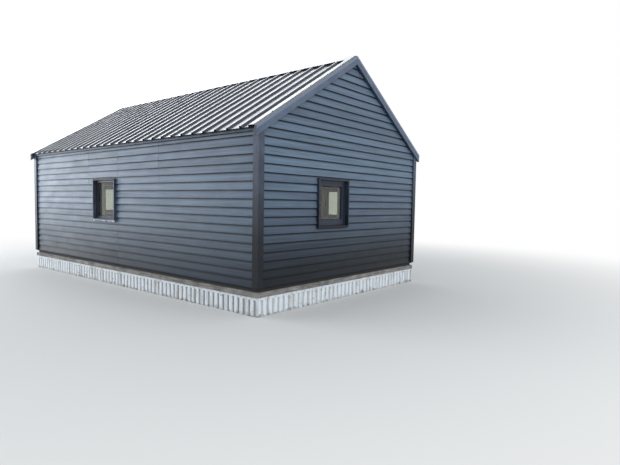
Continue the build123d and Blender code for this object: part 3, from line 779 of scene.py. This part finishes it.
def board_spans(low, high, seams, gap, openings):
    """The stretches that joints and openings leave between two heights, as (left, right) pairs."""
    cuts = [around(seam, gap / 2) for seam in seams]
    cuts += [(left, right) for left, right, foot, head in openings if foot < high and head > low]
    edges = [-NO_LIMIT, *(edge for cut in sorted(cuts) for edge in cut), NO_LIMIT]
    return list(zip(edges[::2], edges[1::2]))


def lay_course(side, course, openings, sizes, random):
    """The boards of one course: a list of (part, grain, tone), its outline carried along the wall.

    The outline's ends follow the rake on a gable. Slow sines bend each board in and out, and up and down.
    """
    gable = side in GABLES
    foot = BOARD_FOOT + course * sizes.exposure
    top = BOARD_TOPS[side] - UNDER_SHEET
    levels = {foot, min(foot + sizes.exposure + sizes.lap, top)}
    marks = [level for opening in openings for level in opening[2:]]
    if gable:
        marks.append(RAKE_TOP - BOARD_REACH[side] * SLOPE_TAN)
    levels.update([level for level in marks if foot < level < max(levels)])
    levels = sorted(levels)
    seams = SEAMS[side] + (UPPER_SEAMS[side] if course >= sizes.upper_joints else [])
    draws = {}
    boards = []
    for low, high in zip(levels, levels[1:]):
        outline = board_outline(low, high, foot, sizes)
        reach = np.full(len(outline), BOARD_REACH[side])
        if gable:
            reach = np.minimum(reach, rake_reach(outline[:, 0]))
        for left, right in board_spans(low, high, seams, sizes.gap, openings):
            # Pieces of one board share its draws, so a board that is notched round a window stays one board.
            board = sum(seam < (left + right) / 2 for seam in seams)
            if board not in draws:
                draws[board] = random.random(4)
            shift, tone, phase, sag = draws[board]
            start = np.maximum(left, -reach)
            end = np.minimum(right, reach)
            if (end - start).max() < sizes.gap:
                continue
            count = 2 + int((end - start).max() / STATION)
            along = start + np.linspace(0, 1, count)[:, None] * (end - start)
            rings = np.empty((*along.shape, 3))
            rings[..., 0] = along
            rings[..., 1] = outline[:, 0] + sizes.wave * np.sin(along * SAG_RATE + PHASE * sag)
            rings[..., 2] = outline[:, 1] - sizes.wave * (1 + np.sin(along * BOW_RATE + PHASE * phase))
            part = loft(rings)
            grain = part[0] + np.array([GRAIN_ALONG * shift, GRAIN_UP * course, 0.0])
            boards.append((placed(WALLS[side], part), grain, np.full(len(grain), tone)))
    return boards


class SHED_OT_boards(bpy.types.Operator):
    """Clads the four walls with lapped weatherboards, notched round the openings"""
    bl_idname = "shed.boards"
    bl_label = "Weatherboards"

    def execute(self, context):
        sizes = context.scene.shed.boards
        random = np.random.default_rng(RANDOM_SEED)
        least_board = 0.02
        for side in SIDES:
            openings = wall_openings(side, sizes.edge_gap)
            boards = []
            for course in range(int((BOARD_TOPS[side] - least_board - BOARD_FOOT) / sizes.exposure) + 1):
                boards += lay_course(side, course, openings, sizes, random)
            parts, grains, tones = zip(*boards)
            piece = add_piece("weatherboards_" + side, parts, "weatherboard")
            grain = piece.data.attributes.new("grain", "FLOAT_VECTOR", "POINT")
            grain.data.foreach_set("vector", np.concatenate(grains).ravel())
            tone = piece.data.attributes.new("tone", "FLOAT", "POINT")
            tone.data.foreach_set("value", np.concatenate(tones))
            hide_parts("cladding_" + side)
        return {"FINISHED"}


class SHED_OT_nails(bpy.types.Operator):
    """Nails the weatherboards at every stud, with flat domed heads"""
    bl_idname = "shed.nails"
    bl_label = "Board nails"

    def execute(self, context):
        sizes = context.scene.shed.boards
        radius = sizes.nail_radius
        nail = turned([(-0.002, radius), (0.0004, radius), (0.0012, 0.45 * radius)], 6)
        above_nose, under_top, from_rake = 0.034, 0.1, 0.05
        out = -BOARD_INSET - sizes.thickness * above_nose / sizes.exposure - sizes.wave
        for side in SIDES:
            courses = int((BOARD_TOPS[side] - under_top - BOARD_FOOT) / sizes.exposure) + 1
            studs = int(BOARD_REACH[side] / sizes.stud_pitch)
            heights = BOARD_FOOT + above_nose + sizes.exposure * np.arange(courses)
            places = spots(sizes.stud_pitch * np.arange(-studs, studs + 1), heights[:, None], out)
            along, height = places[:, 0], places[:, 1]
            kept = np.abs(along) < (rake_reach(height) - from_rake if side in GABLES else NO_LIMIT)
            for left, right, foot, head in wall_openings(side, 2 * above_nose):
                kept &= (along <= left) | (along >= right) | (height <= foot) | (height >= head)
            nails = placed(WALLS[side], repeated(nail, places[kept]))
            add_piece("board_nails_" + side, [nails], "painted_screw")
        return {"FINISHED"}


class SHED_OT_starter_strips(bpy.types.Operator):
    """Closes the gap behind the lowest boards with a perforated insect strip on a starter batten"""
    bl_idname = "shed.starter_strips"
    bl_label = "Starter strips"

    def execute(self, context):
        clearance, batten_height, batten_face, strip_face = 0.002, 0.021, -0.047, -0.028
        batten_top = BOARD_FOOT - 0.001
        batten = softened((batten_top - batten_height, batten_top), (-WALL_INSET, batten_face), 0.001)
        foot, top = BOARD_FOOT - 0.004, BOARD_FOOT - 0.0025
        strip = [(foot, batten_face), (top, batten_face), (top, strip_face), (foot, strip_face)]
        parts = []
        for side in SIDES:
            reach = BOARD_REACH[side] - clearance
            spans = [(-reach, reach)]
            if side == "back":
                low, high = wall_box(side, "door_frame")
                spans = [(-reach, low[0] - clearance), (high[0] + clearance, reach)]
            for span in spans:
                parts += [placed(WALLS[side], carried(outline, span)) for outline in (batten, strip)]
        add_piece("starter_strips", parts, "foam")
        return {"FINISHED"}


# Packers left under the front window's surround: (along from the window's middle, width)
PACKERS = [(-0.46, 0.07), (0.02, 0.08), (0.23, 0.08), (0.42, 0.11)]


class SHED_OT_packers(bpy.types.Operator):
    """Sets pale wedges in the joint under the front window's surround"""
    bl_idname = "shed.packers"
    bl_label = "Window packers"

    def execute(self, context):
        low, high = wall_box("front", "window_frame_front")
        middle = (low[0] + high[0]) / 2
        top, foot = SURROUND_FOOT - 0.001, SURROUND_FOOT - 0.03
        wedge = [(top, -0.012), (top, 0.01), (foot + 0.004, 0.008), (foot, 0.002), (foot, -0.012)]
        parts = []
        for offset, width in PACKERS:
            part = carried(wedge, around(middle + offset, width / 2))
            parts.append(placed(WALLS["front"], part))
        add_piece("window_packers", parts, "white_plastic")
        return {"FINISHED"}


# Each small window piece: its finish and its record slot
WINDOW_PIECES = {
    "window_gaskets": ("rubber", "window_frame"),
    "window_beads": ("profile", "window_frame"),
    "window_drips": ("profile", "window_frame"),
    "window_head_caps": ("dark_steel", "roof_steel"),
    "window_foot_strips": ("dark_steel", "roof_steel"),
    # Painted light and shade: the front window's foot strip is pale, the other windows' strips are dark.
    "front_foot_strip": ("pale_steel_painted_light", "plinth_steel"),
    "window_linings": ("reveal_paint", "wall_panel"),
    "window_handles": ("brushed_steel", "handle_steel"),
}
# A fitted part stands this far off what it lies on.
FIT = 0.0005


def glazing_parts(side, sizes):
    """Sloping beads round both faces of a pane, and the rubber between bead and glass."""
    low, high = wall_box(side, "window_glass_" + side)
    sight = (low + GLASS_BITE, high - GLASS_BITE)
    bead, gasket = sizes.bead, sizes.gasket
    beads, gaskets = [], []
    rubber = [
        (-bead - 0.8 * gasket, 0.0002), (-bead + 0.002, 0.0002), (-bead + 0.002, 0.0036),
        (-bead - 0.4 * gasket, 0.003),
    ]
    for face, way, rise in ((high[2], 1, 0.024), (low[2], -1, 0.01)):
        slope = [(FIT, 0.001), (-bead, 0.003), (-bead, 0.005), (FIT, rise)]
        for outline, parts in ((slope, beads), (rubber, gaskets)):
            off_wall = [(away, face + way * out) for away, out in outline]
            parts.append(four_sided(*sight, off_wall))
    return {"window_beads": beads, "window_gaskets": gaskets}


def surround_parts(side, sizes):
    """Caps and drips of bent steel over and under a surround, and the drip on the frame's lower member."""
    low, high = wall_box(side, "window_frame_" + side)
    gauge, overlap, cap_back, strip_back, drip_inset = 0.0015, 0.003, -0.06, -0.058, 0.01
    edge = low[1] - SURROUND_FOOT + overlap
    span = (low[0] - edge, high[0] + edge)
    head, lip, face = SURROUND_HEAD, SURROUND_HEAD - 0.012, 0.022
    cap = [
        (head, cap_back), (head + gauge, cap_back), (head + gauge, face + gauge),
        (lip, face + gauge), (lip, face), (head, face),
    ]
    top, foot = SURROUND_FOOT - 0.0003, SURROUND_FOOT - 0.022
    strip = [
        (top, strip_back), (top, 0.0), (foot, 0.001), (foot, 0.001 - gauge), (top - gauge, -gauge),
        (top - gauge, strip_back),
    ]
    front, drip_foot = high[2], low[1] + 0.012
    drip = [
        (drip_foot, front), (low[1] + 0.034, front),
        (low[1] + 0.018, front + 0.014), (drip_foot, front + 0.012),
    ]
    return {
        "window_head_caps": [carried(cap, span)],
        # Painted light and shade: the front window's strip is pale, the others dark.
        "front_foot_strip" if side == "front" else "window_foot_strips": [carried(strip, span)],
        "window_drips": [carried(drip, (low[0] + drip_inset, high[0] - drip_inset))],
    }


def lining_parts(side, sizes):
    """Painted boards from the frame to the wall's inner face, and a sill board that stands out over it."""
    low, high = wall_box(side, "window_frame_" + side)
    board = sizes.lining
    shelf_thickness, shelf_nose, shelf_inset = 0.02, 0.03, board + 0.001
    outer, inner = low[2] - FIT, -WALL_INNER_INSET - 0.002
    boards = four_sided(low + FIT, high - FIT, [(-board, outer), (0.0, outer), (0.0, inner), (-board, inner)])
    foot = low[1] + board
    shelf = softened((foot, foot + shelf_thickness), (inner - shelf_nose, outer), 0.002)
    return {"window_linings": [boards, carried(shelf, (low[0] + shelf_inset, high[0] - shelf_inset))]}


def handle_parts(side, sizes):
    """A sash handle on the inside: a rose, a neck and an upright grip."""
    low, high = wall_box(side, "window_frame_" + side)
    glass_to_sash, frame_to_handle, grip_down, grip_up = 0.02, 0.083, 0.12, 0.01
    face = wall_box(side, "window_glass_" + side)[0][2] - glass_to_sash
    along, height = low[0] + frame_to_handle, (low[1] + high[1]) / 2
    rose = softened(around(height, 0.035), (face - 0.014, face - FIT), 0.003)
    neck = softened(around(height, 0.008), (face - 0.028, face - 0.013), 0.002)
    grip = softened((face - 0.04, face - 0.026), around(along, 0.009), 0.004)
    return {"window_handles": [
        carried(rose, around(along, 0.014)),
        carried(neck, around(along, 0.008)),
        carried(grip, (height - grip_down, height + grip_up), axis=1),
    ]}


class SHED_OT_window_details(bpy.types.Operator):
    """Fits gaskets, beads, head caps, foot strips, drips, linings and handles to the windows"""
    bl_idname = "shed.window_details"
    bl_label = "Window details"

    def execute(self, context):
        sizes = context.scene.shed.openings
        pieces = {name: [] for name in WINDOW_PIECES}
        for side in SIDES:
            makers = [glazing_parts, surround_parts, lining_parts]
            # The front window is fixed, so it has no handle.
            if side != "front":
                makers.append(handle_parts)
            for maker in makers:
                for name, parts in maker(side, sizes).items():
                    pieces[name] += [placed(WALLS[side], part) for part in parts]
        for name, (paint, slot) in WINDOW_PIECES.items():
            add_piece(name, pieces[name], paint)
        return {"FINISHED"}


class SHED_OT_door_details(bpy.types.Operator):
    """Fits upright boards, hinges, a rain rail and a lock to the back door"""
    bl_idname = "shed.door_details"
    bl_label = "Door details"

    def execute(self, context):
        sizes = context.scene.shed.openings
        low, high = wall_box("back", "door_leaf")
        face = high[2]
        proud = face + sizes.door_board_depth
        margin, end_margin, half_joint, hinge_inset = 0.004, 0.012, 0.0006, 0.22
        count = round((high[0] - low[0]) / sizes.door_board)
        edges = np.linspace(low[0] + margin, high[0] - margin, count + 1)
        boards = []
        for left, right in zip(edges, edges[1:]):
            outline = softened((face + 0.0003, proud), (left + half_joint, right - half_joint), 0.004)
            boards.append(carried(outline, (low[1] + end_margin, high[1] - end_margin), axis=1))
        rail_up, rail_height, rail_depth, rail_inset = 0.03, 0.065, 0.026, 0.01
        foot, nose = low[1] + rail_up, proud + rail_depth
        rail = [(foot, proud), (foot + rail_height, proud), (foot + 0.015, nose), (foot + 0.002, nose)]
        rail_span = (low[0] + rail_inset, high[0] - rail_inset)
        barrel = turned([(-0.05, 0.006), (-0.048, 0.008), (0.048, 0.008), (0.05, 0.006)], 12, axis=1)
        leaf_plate = carried(softened(around(0.0, 0.045), (0.0, 0.0025), 0.0008), (0.002, 0.03))
        hinges = []
        for height in (low[1] + hinge_inset, (low[1] + high[1]) / 2, high[1] - hinge_inset):
            hinges.append(repeated(barrel, (low[0] - 0.0015, height, face + 0.017)))
            hinges.append(repeated(leaf_plate, (low[0] + margin, height, proud)))
        handle_low, handle_high = wall_box("back", "door_handle")
        lock_place = (handle_high[0] - 0.02, handle_low[1] + 0.045, face + 0.007)
        lock = turned([(0.0, 0.0085), (0.004, 0.0085), (0.0045, 0.008)], 16)
        keyway = carried(softened(around(0.0, 0.0045), (0.0044, 0.005), 0.0001), around(0.0, 0.0008))
        for name, parts, paint, slot in (
            ("door_boards", boards, "door_paint", "door_board"),
            ("door_rain_rail", [carried(rail, rail_span)], "upright_board", "door_board"),
            ("door_hinges", hinges, "zinc", "handle_steel"),
            ("door_lock", [repeated(lock, lock_place)], "zinc", "handle_steel"),
            ("door_keyway", [repeated(keyway, lock_place)], "rubber", "handle_steel"),
        ):
            add_piece(name, [placed(WALLS["back"], part) for part in parts], paint)
        return {"FINISHED"}


class SHED_OT_roof_screws(bpy.types.Operator):
    """Screws the roof sheets to the battens and the cap and flashings to the ribs"""
    bl_idname = "shed.roof_screws"
    bl_label = "Roof screws"

    def execute(self, context):
        sizes = context.scene.shed.roof
        washer, head = sizes.washer, sizes.head
        washer_rings = [(-0.001, washer), (0.0012, washer)]
        head_rings = [(0.0022, head), (0.006, head), (0.0066, 0.7 * head)]
        screw = turned(washer_rings + head_rings, 8)
        # Distances along the slope. The cap covers the top batten, so no screws are set there.
        top_batten, above_eaves, from_cap_edge, first_verge, verge_pitch = 0.075, 0.16, 0.03, 0.45, 0.6
        battens = np.linspace(top_batten, SLOPE_LENGTH - above_eaves, BATTEN_COUNT)[1:]
        verge = np.arange(first_verge, SLOPE_LENGTH, verge_pitch)
        beside_rib = RIB_BASE / 2 + 0.022
        for side, local in SLOPES.items():
            way = local[1][0, 0]
            # Beside each rib into the battens, through the cap at every second rib, and down both verges
            places = [
                spots(np.sort(way * (RIBS[1:-1] + beside_rib)), -battens[:, None], 0.0),
                spots(way * RIBS[1:-1:2], from_cap_edge - RIDGE_FLANGE, FLASHING_TOP),
                spots(way * RIBS[0], -verge, FLASHING_TOP),
                spots(way * RIBS[-1], -verge, FLASHING_TOP),
            ]
            screws = placed(local, repeated(screw, np.concatenate(places)))
            add_piece("roof_screws_" + side, [screws], "painted_screw")
        return {"FINISHED"}


class SHED_OT_roof_laps(bpy.types.Operator):
    """Adds the sheets' side laps, the foam fillers under the cap and the cap's own laps"""
    bl_idname = "shed.roof_laps"
    bl_label = "Roof laps and fillers"

    def execute(self, context):
        sizes = context.scene.shed.roof
        lap_gauge, cap_lap_gauge, cap_seams, half_cap_lap = 0.0012, 0.0015, (-1.535, 1.465), 0.05
        under_cap, filler_start = 0.12, 0.012 - RIDGE_FLANGE
        laps, fillers, cap_laps = [], [], []
        for local in SLOPES.values():
            way = local[1][0, 0]
            # A sheet has three ribs, so its edge laps the next sheet at every third.
            for rib in RIBS[2:-1:3]:
                foot = rib - RIB_BASE / 2
                outline = softened((0.0, lap_gauge), sorted((way * foot, way * (foot - sizes.lap))), 0.0004)
                laps.append(placed(local, carried(outline, (0.001 - SLOPE_LENGTH, -under_cap), axis=1)))
            for left, right in zip(RIBS[1:], RIBS[:-1]):
                a, b = sorted((way * left, way * right))
                low, high, foot, slant = 0.0004, RIB_HEIGHT - 0.0005, RIB_BASE / 2, RIB_TOP / 2 + 0.001
                outline = [(low, a + foot), (low, b - foot), (high, b - slant), (high, a + slant)]
                reach = (filler_start, filler_start + sizes.filler)
                fillers.append(placed(local, carried(outline, reach, axis=1)))
            for seam in cap_seams:
                span = around(seam, half_cap_lap)
                outline = softened((FLASHING_TOP, FLASHING_TOP + cap_lap_gauge), span, 0.0005)
                cap_laps.append(placed(local, carried(outline, (-RIDGE_FLANGE, -0.008), axis=1)))
        add_piece("sheet_side_laps", laps, "roof_steel")
        add_piece("ridge_fillers", fillers, "foam")
        add_piece("ridge_cap_laps", cap_laps, "roof_steel")
        return {"FINISHED"}


class SHED_OT_plinth_details(bpy.types.Operator):
    """Screws the plinth's cap strip and marks the laps between its sheets"""
    bl_idname = "shed.plinth_details"
    bl_label = "Plinth details"

    def execute(self, context):
        sizes = context.scene.shed.plinth
        cap_low, cap_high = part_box("plinth_cap")
        cap_face = cap_high[1] - HALF_WIDTH
        sheet_inset = HALF_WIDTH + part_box("plinth_sheet_front")[0][1]
        upright = (0.0, cap_low[2] - 0.001)
        lap_gauge, lap_before, lap_after = 0.0015, 0.012, 0.026
        angle_gauge, angle_reach, from_end = 0.0008, 0.034, 0.05
        radius = sizes.screw
        screw = turned([(-0.001, radius), (0.001, radius), (0.002, 0.55 * radius), (0.0045, 0.5 * radius)], 8)
        screws, laps = [], []
        for side in SIDES:
            first_flat = sizes.first_groove + sizes.groove_pitch / 2 - HALVES[side]
            flats = np.arange(first_flat, HALVES[side] - from_end, sizes.groove_pitch)
            places = spots(flats[::2], (cap_low[2] + cap_high[2]) / 2, cap_face)
            screws.append(placed(WALLS[side], repeated(screw, places)))
            # A sheet has eight flats.
            for flat in flats[5::8]:
                lap = (flat - lap_before, flat + lap_after)
                outline = softened((-sheet_inset, -sheet_inset + lap_gauge), lap, 0.0005)
                laps.append(placed(WALLS[side], carried(outline, upright, axis=1)))
        # An angle over each corner, where two sheets meet
        near, far = sheet_inset - angle_gauge, sheet_inset + angle_reach
        inner = near + angle_gauge
        angle = np.array([(near, near), (far, near), (far, inner), (inner, inner), (inner, far), (near, far)])
        from_corner = np.array([HALF_LENGTH, HALF_WIDTH]) - angle
        ways = ((1, 1), (1, -1), (-1, 1), (-1, -1))
        corner_strips = [carried(from_corner * way, upright, axis=2) for way in ways]
        add_piece("plinth_screws", screws, "zinc")
        add_piece("plinth_laps", laps, "plinth_steel")
        add_piece("plinth_corner_strips", corner_strips, "plinth_steel")
        return {"FINISHED"}


class SHED_OT_trim_screws(bpy.types.Operator):
    """Screws the corner trims to the boards behind them"""
    bl_idname = "shed.trim_screws"
    bl_label = "Trim screws"

    def execute(self, context):
        screw = turned([(-0.001, 0.0045), (0.0004, 0.0045), (0.0012, 0.002)], 8)
        from_edge, from_foot, from_top, pitch = 0.03, 0.12, 0.4, 0.5
        heights = np.arange(BOARD_FOOT + from_foot, TRIM_TOP - from_top, pitch)
        parts = []
        for side, half in HALVES.items():
            edge = half - TRIM_WIDTH + from_edge
            for along in (-edge, edge):
                parts.append(placed(WALLS[side], repeated(screw, spots(along, heights, 0.0))))
        add_piece("trim_screws", parts, "painted_screw")
        return {"FINISHED"}


# The photograph's camera, worked out from the shed's own edges: place in metres, angles in degrees
CAMERA_PLACE = (10.447, -8.497, 1.980)
CAMERA_YAW = -39.57
CAMERA_PITCH = -3.49
CAMERA_ROLL = 0.95
CAMERA_FOCUS_PIXELS = 482.7
CAMERA_REACH = 500.0
IMAGE_WIDTH_PIXELS = 620
SENSOR_WIDTH = 36.0

FLOOR_RADIUS = 90.0
FLOOR_CORNERS = 96

# Soft boxes: place, the point that they face, width, height and brightness beside the white surroundings
SOFT_BOXES = {
    "sky_before_front_wall": ((-14.5, -11.5, 7.4), (0.0, -2.8, 2.2), 17.0, 9.0, 3.45),
    "glow_beside_front_wall": ((-14.5, -6.3, 2.4), (0.0, -2.8, 1.6), 5.4, 4.4, 2.5),
    "sky_over_roof": ((-11.5, 5.0, 11.0), (0.0, -1.5, 4.0), 18.0, 13.0, 4.2),
    "glow_behind_roof": ((-15.0, 3.0, 9.0), (-2.0, -1.5, 4.0), 9.0, 6.5, 3.2),
    "sky_before_gable": ((20.0, -1.0, 8.0), (4.6, 0.0, 2.5), 14.0, 8.0, 2.2),
}
# These stand for bright sky that only the sheen of paint and steel shows, and add no light to a wall.
SHEEN_BOXES = ("glow_beside_front_wall", "sky_over_roof", "glow_behind_roof")
COOL_DAYLIGHT = (0.98, 1.03, 1.09)


def camera_matrix():
    """The camera's place and turn: forward from yaw and pitch, then rolled about that line."""
    yaw, pitch, roll = np.radians([CAMERA_YAW, CAMERA_PITCH, CAMERA_ROLL])
    forward = np.array([np.sin(yaw) * np.cos(pitch), np.cos(yaw) * np.cos(pitch), np.sin(pitch)])
    level_right = np.array([np.cos(yaw), -np.sin(yaw), 0.0])
    level_up = np.cross(level_right, forward)
    right = np.cos(roll) * level_right + np.sin(roll) * level_up
    up = np.cos(roll) * level_up - np.sin(roll) * level_right
    matrix = np.eye(4)
    matrix[:3] = np.stack([right, up, -forward, CAMERA_PLACE], axis=1)
    return Matrix(matrix.tolist())


def make_surroundings():
    """White all round for the camera and in reflections. What falls softly on the shed is a cool daylight."""
    world = bpy.data.worlds.new("white surroundings")
    world.use_nodes = True
    tree = world.node_tree
    soft = add(tree, "LightPath", take="Is Diffuse Ray")
    light = blend(tree, soft, WHITE, (*COOL_DAYLIGHT, 1.0))
    feed(tree, tree.nodes["Background"], {"Color": light, "Strength": 1.0})
    return world


class SHED_OT_stage(bpy.types.Operator):
    """Sets the camera, a plain pale floor, the white surroundings and the soft boxes"""
    bl_idname = "shed.stage"
    bl_label = "Studio"

    def execute(self, context):
        scene = context.scene
        camera = bpy.data.objects.new("camera", bpy.data.cameras.new("camera"))
        camera.data.sensor_width = SENSOR_WIDTH
        camera.data.lens = CAMERA_FOCUS_PIXELS / IMAGE_WIDTH_PIXELS * SENSOR_WIDTH
        camera.data.clip_end = CAMERA_REACH
        camera.matrix_world = camera_matrix()
        scene.collection.objects.link(camera)
        scene.camera = camera
        # The floor is a flat disc, its rim in equal angle steps round the shed.
        angle = 2 * np.pi * np.arange(FLOOR_CORNERS) / FLOOR_CORNERS
        rim = spots(FLOOR_RADIUS * np.cos(angle), FLOOR_RADIUS * np.sin(angle), 0.0)
        mesh = bpy.data.meshes.new("studio_floor")
        mesh.from_pydata(rim.tolist(), [], [list(range(FLOOR_CORNERS))])
        mesh.materials.append(finish("studio_paper"))
        floor = bpy.data.objects.new("studio_floor", mesh)
        scene.collection.objects.link(floor)
        scene.world = make_surroundings()
        for name, (place, target, width, height, brightness) in SOFT_BOXES.items():
            lamp = bpy.data.lights.new(name, "AREA")
            lamp.shape = "RECTANGLE"
            lamp.size = width
            lamp.size_y = height
            lamp.color = [value / max(COOL_DAYLIGHT) for value in COOL_DAYLIGHT]
            # A lamp's power in watts is four times its area times the brightness of its face.
            lamp.energy = 4 * width * height * brightness
            holder = bpy.data.objects.new(name, lamp)
            holder.location = place
            towards = Vector(target) - Vector(place)
            holder.rotation_euler = towards.to_track_quat("-Z", "Y").to_euler()
            holder.visible_camera = False
            holder.visible_diffuse = name not in SHEEN_BOXES
            scene.collection.objects.link(holder)
        scene.view_settings.view_transform = "Standard"
        return {"FINISHED"}


OPERATORS = (
    SHED_OT_finish_frame,
    SHED_OT_boards,
    SHED_OT_nails,
    SHED_OT_starter_strips,
    SHED_OT_packers,
    SHED_OT_window_details,
    SHED_OT_door_details,
    SHED_OT_roof_screws,
    SHED_OT_roof_laps,
    SHED_OT_plinth_details,
    SHED_OT_trim_screws,
    SHED_OT_stage,
)
GROUPS = (BoardSizes, RoofSizes, OpeningSizes, PlinthSizes, ShedColours, ShedSettings)


class SHED_PT_panel(bpy.types.Panel):
    """The shed's settings and the buttons that make its pieces"""
    bl_idname = "SHED_PT_panel"
    bl_label = "Workshop shed"
    bl_space_type = "VIEW_3D"
    bl_region_type = "UI"
    bl_category = "Shed"

    def draw(self, context):
        for group in ShedSettings.__annotations__:
            settings = getattr(context.scene.shed, group)
            box = self.layout.box()
            for name in settings.__annotations__:
                box.prop(settings, name)
        for operator in OPERATORS:
            self.layout.operator(operator.bl_idname)


def register():
    """Makes the settings, the operators and the panel known to Blender."""
    for item in (*GROUPS, *OPERATORS, SHED_PT_panel):
        bpy.utils.register_class(item)
    bpy.types.Scene.shed = PointerProperty(type=ShedSettings)


def unregister():
    """Takes them away again."""
    del bpy.types.Scene.shed
    for item in reversed((*GROUPS, *OPERATORS, SHED_PT_panel)):
        bpy.utils.unregister_class(item)


def corners(box):
    """A box's two corners as plain lists of numbers."""
    return [[float(value) for value in corner] for corner in box]


def main():
    """Makes every piece in order."""
    register()
    for operator in OPERATORS:
        group, name = operator.bl_idname.split(".")
        getattr(getattr(bpy.ops, group), name)()


if __name__ == "__main__":
    main()
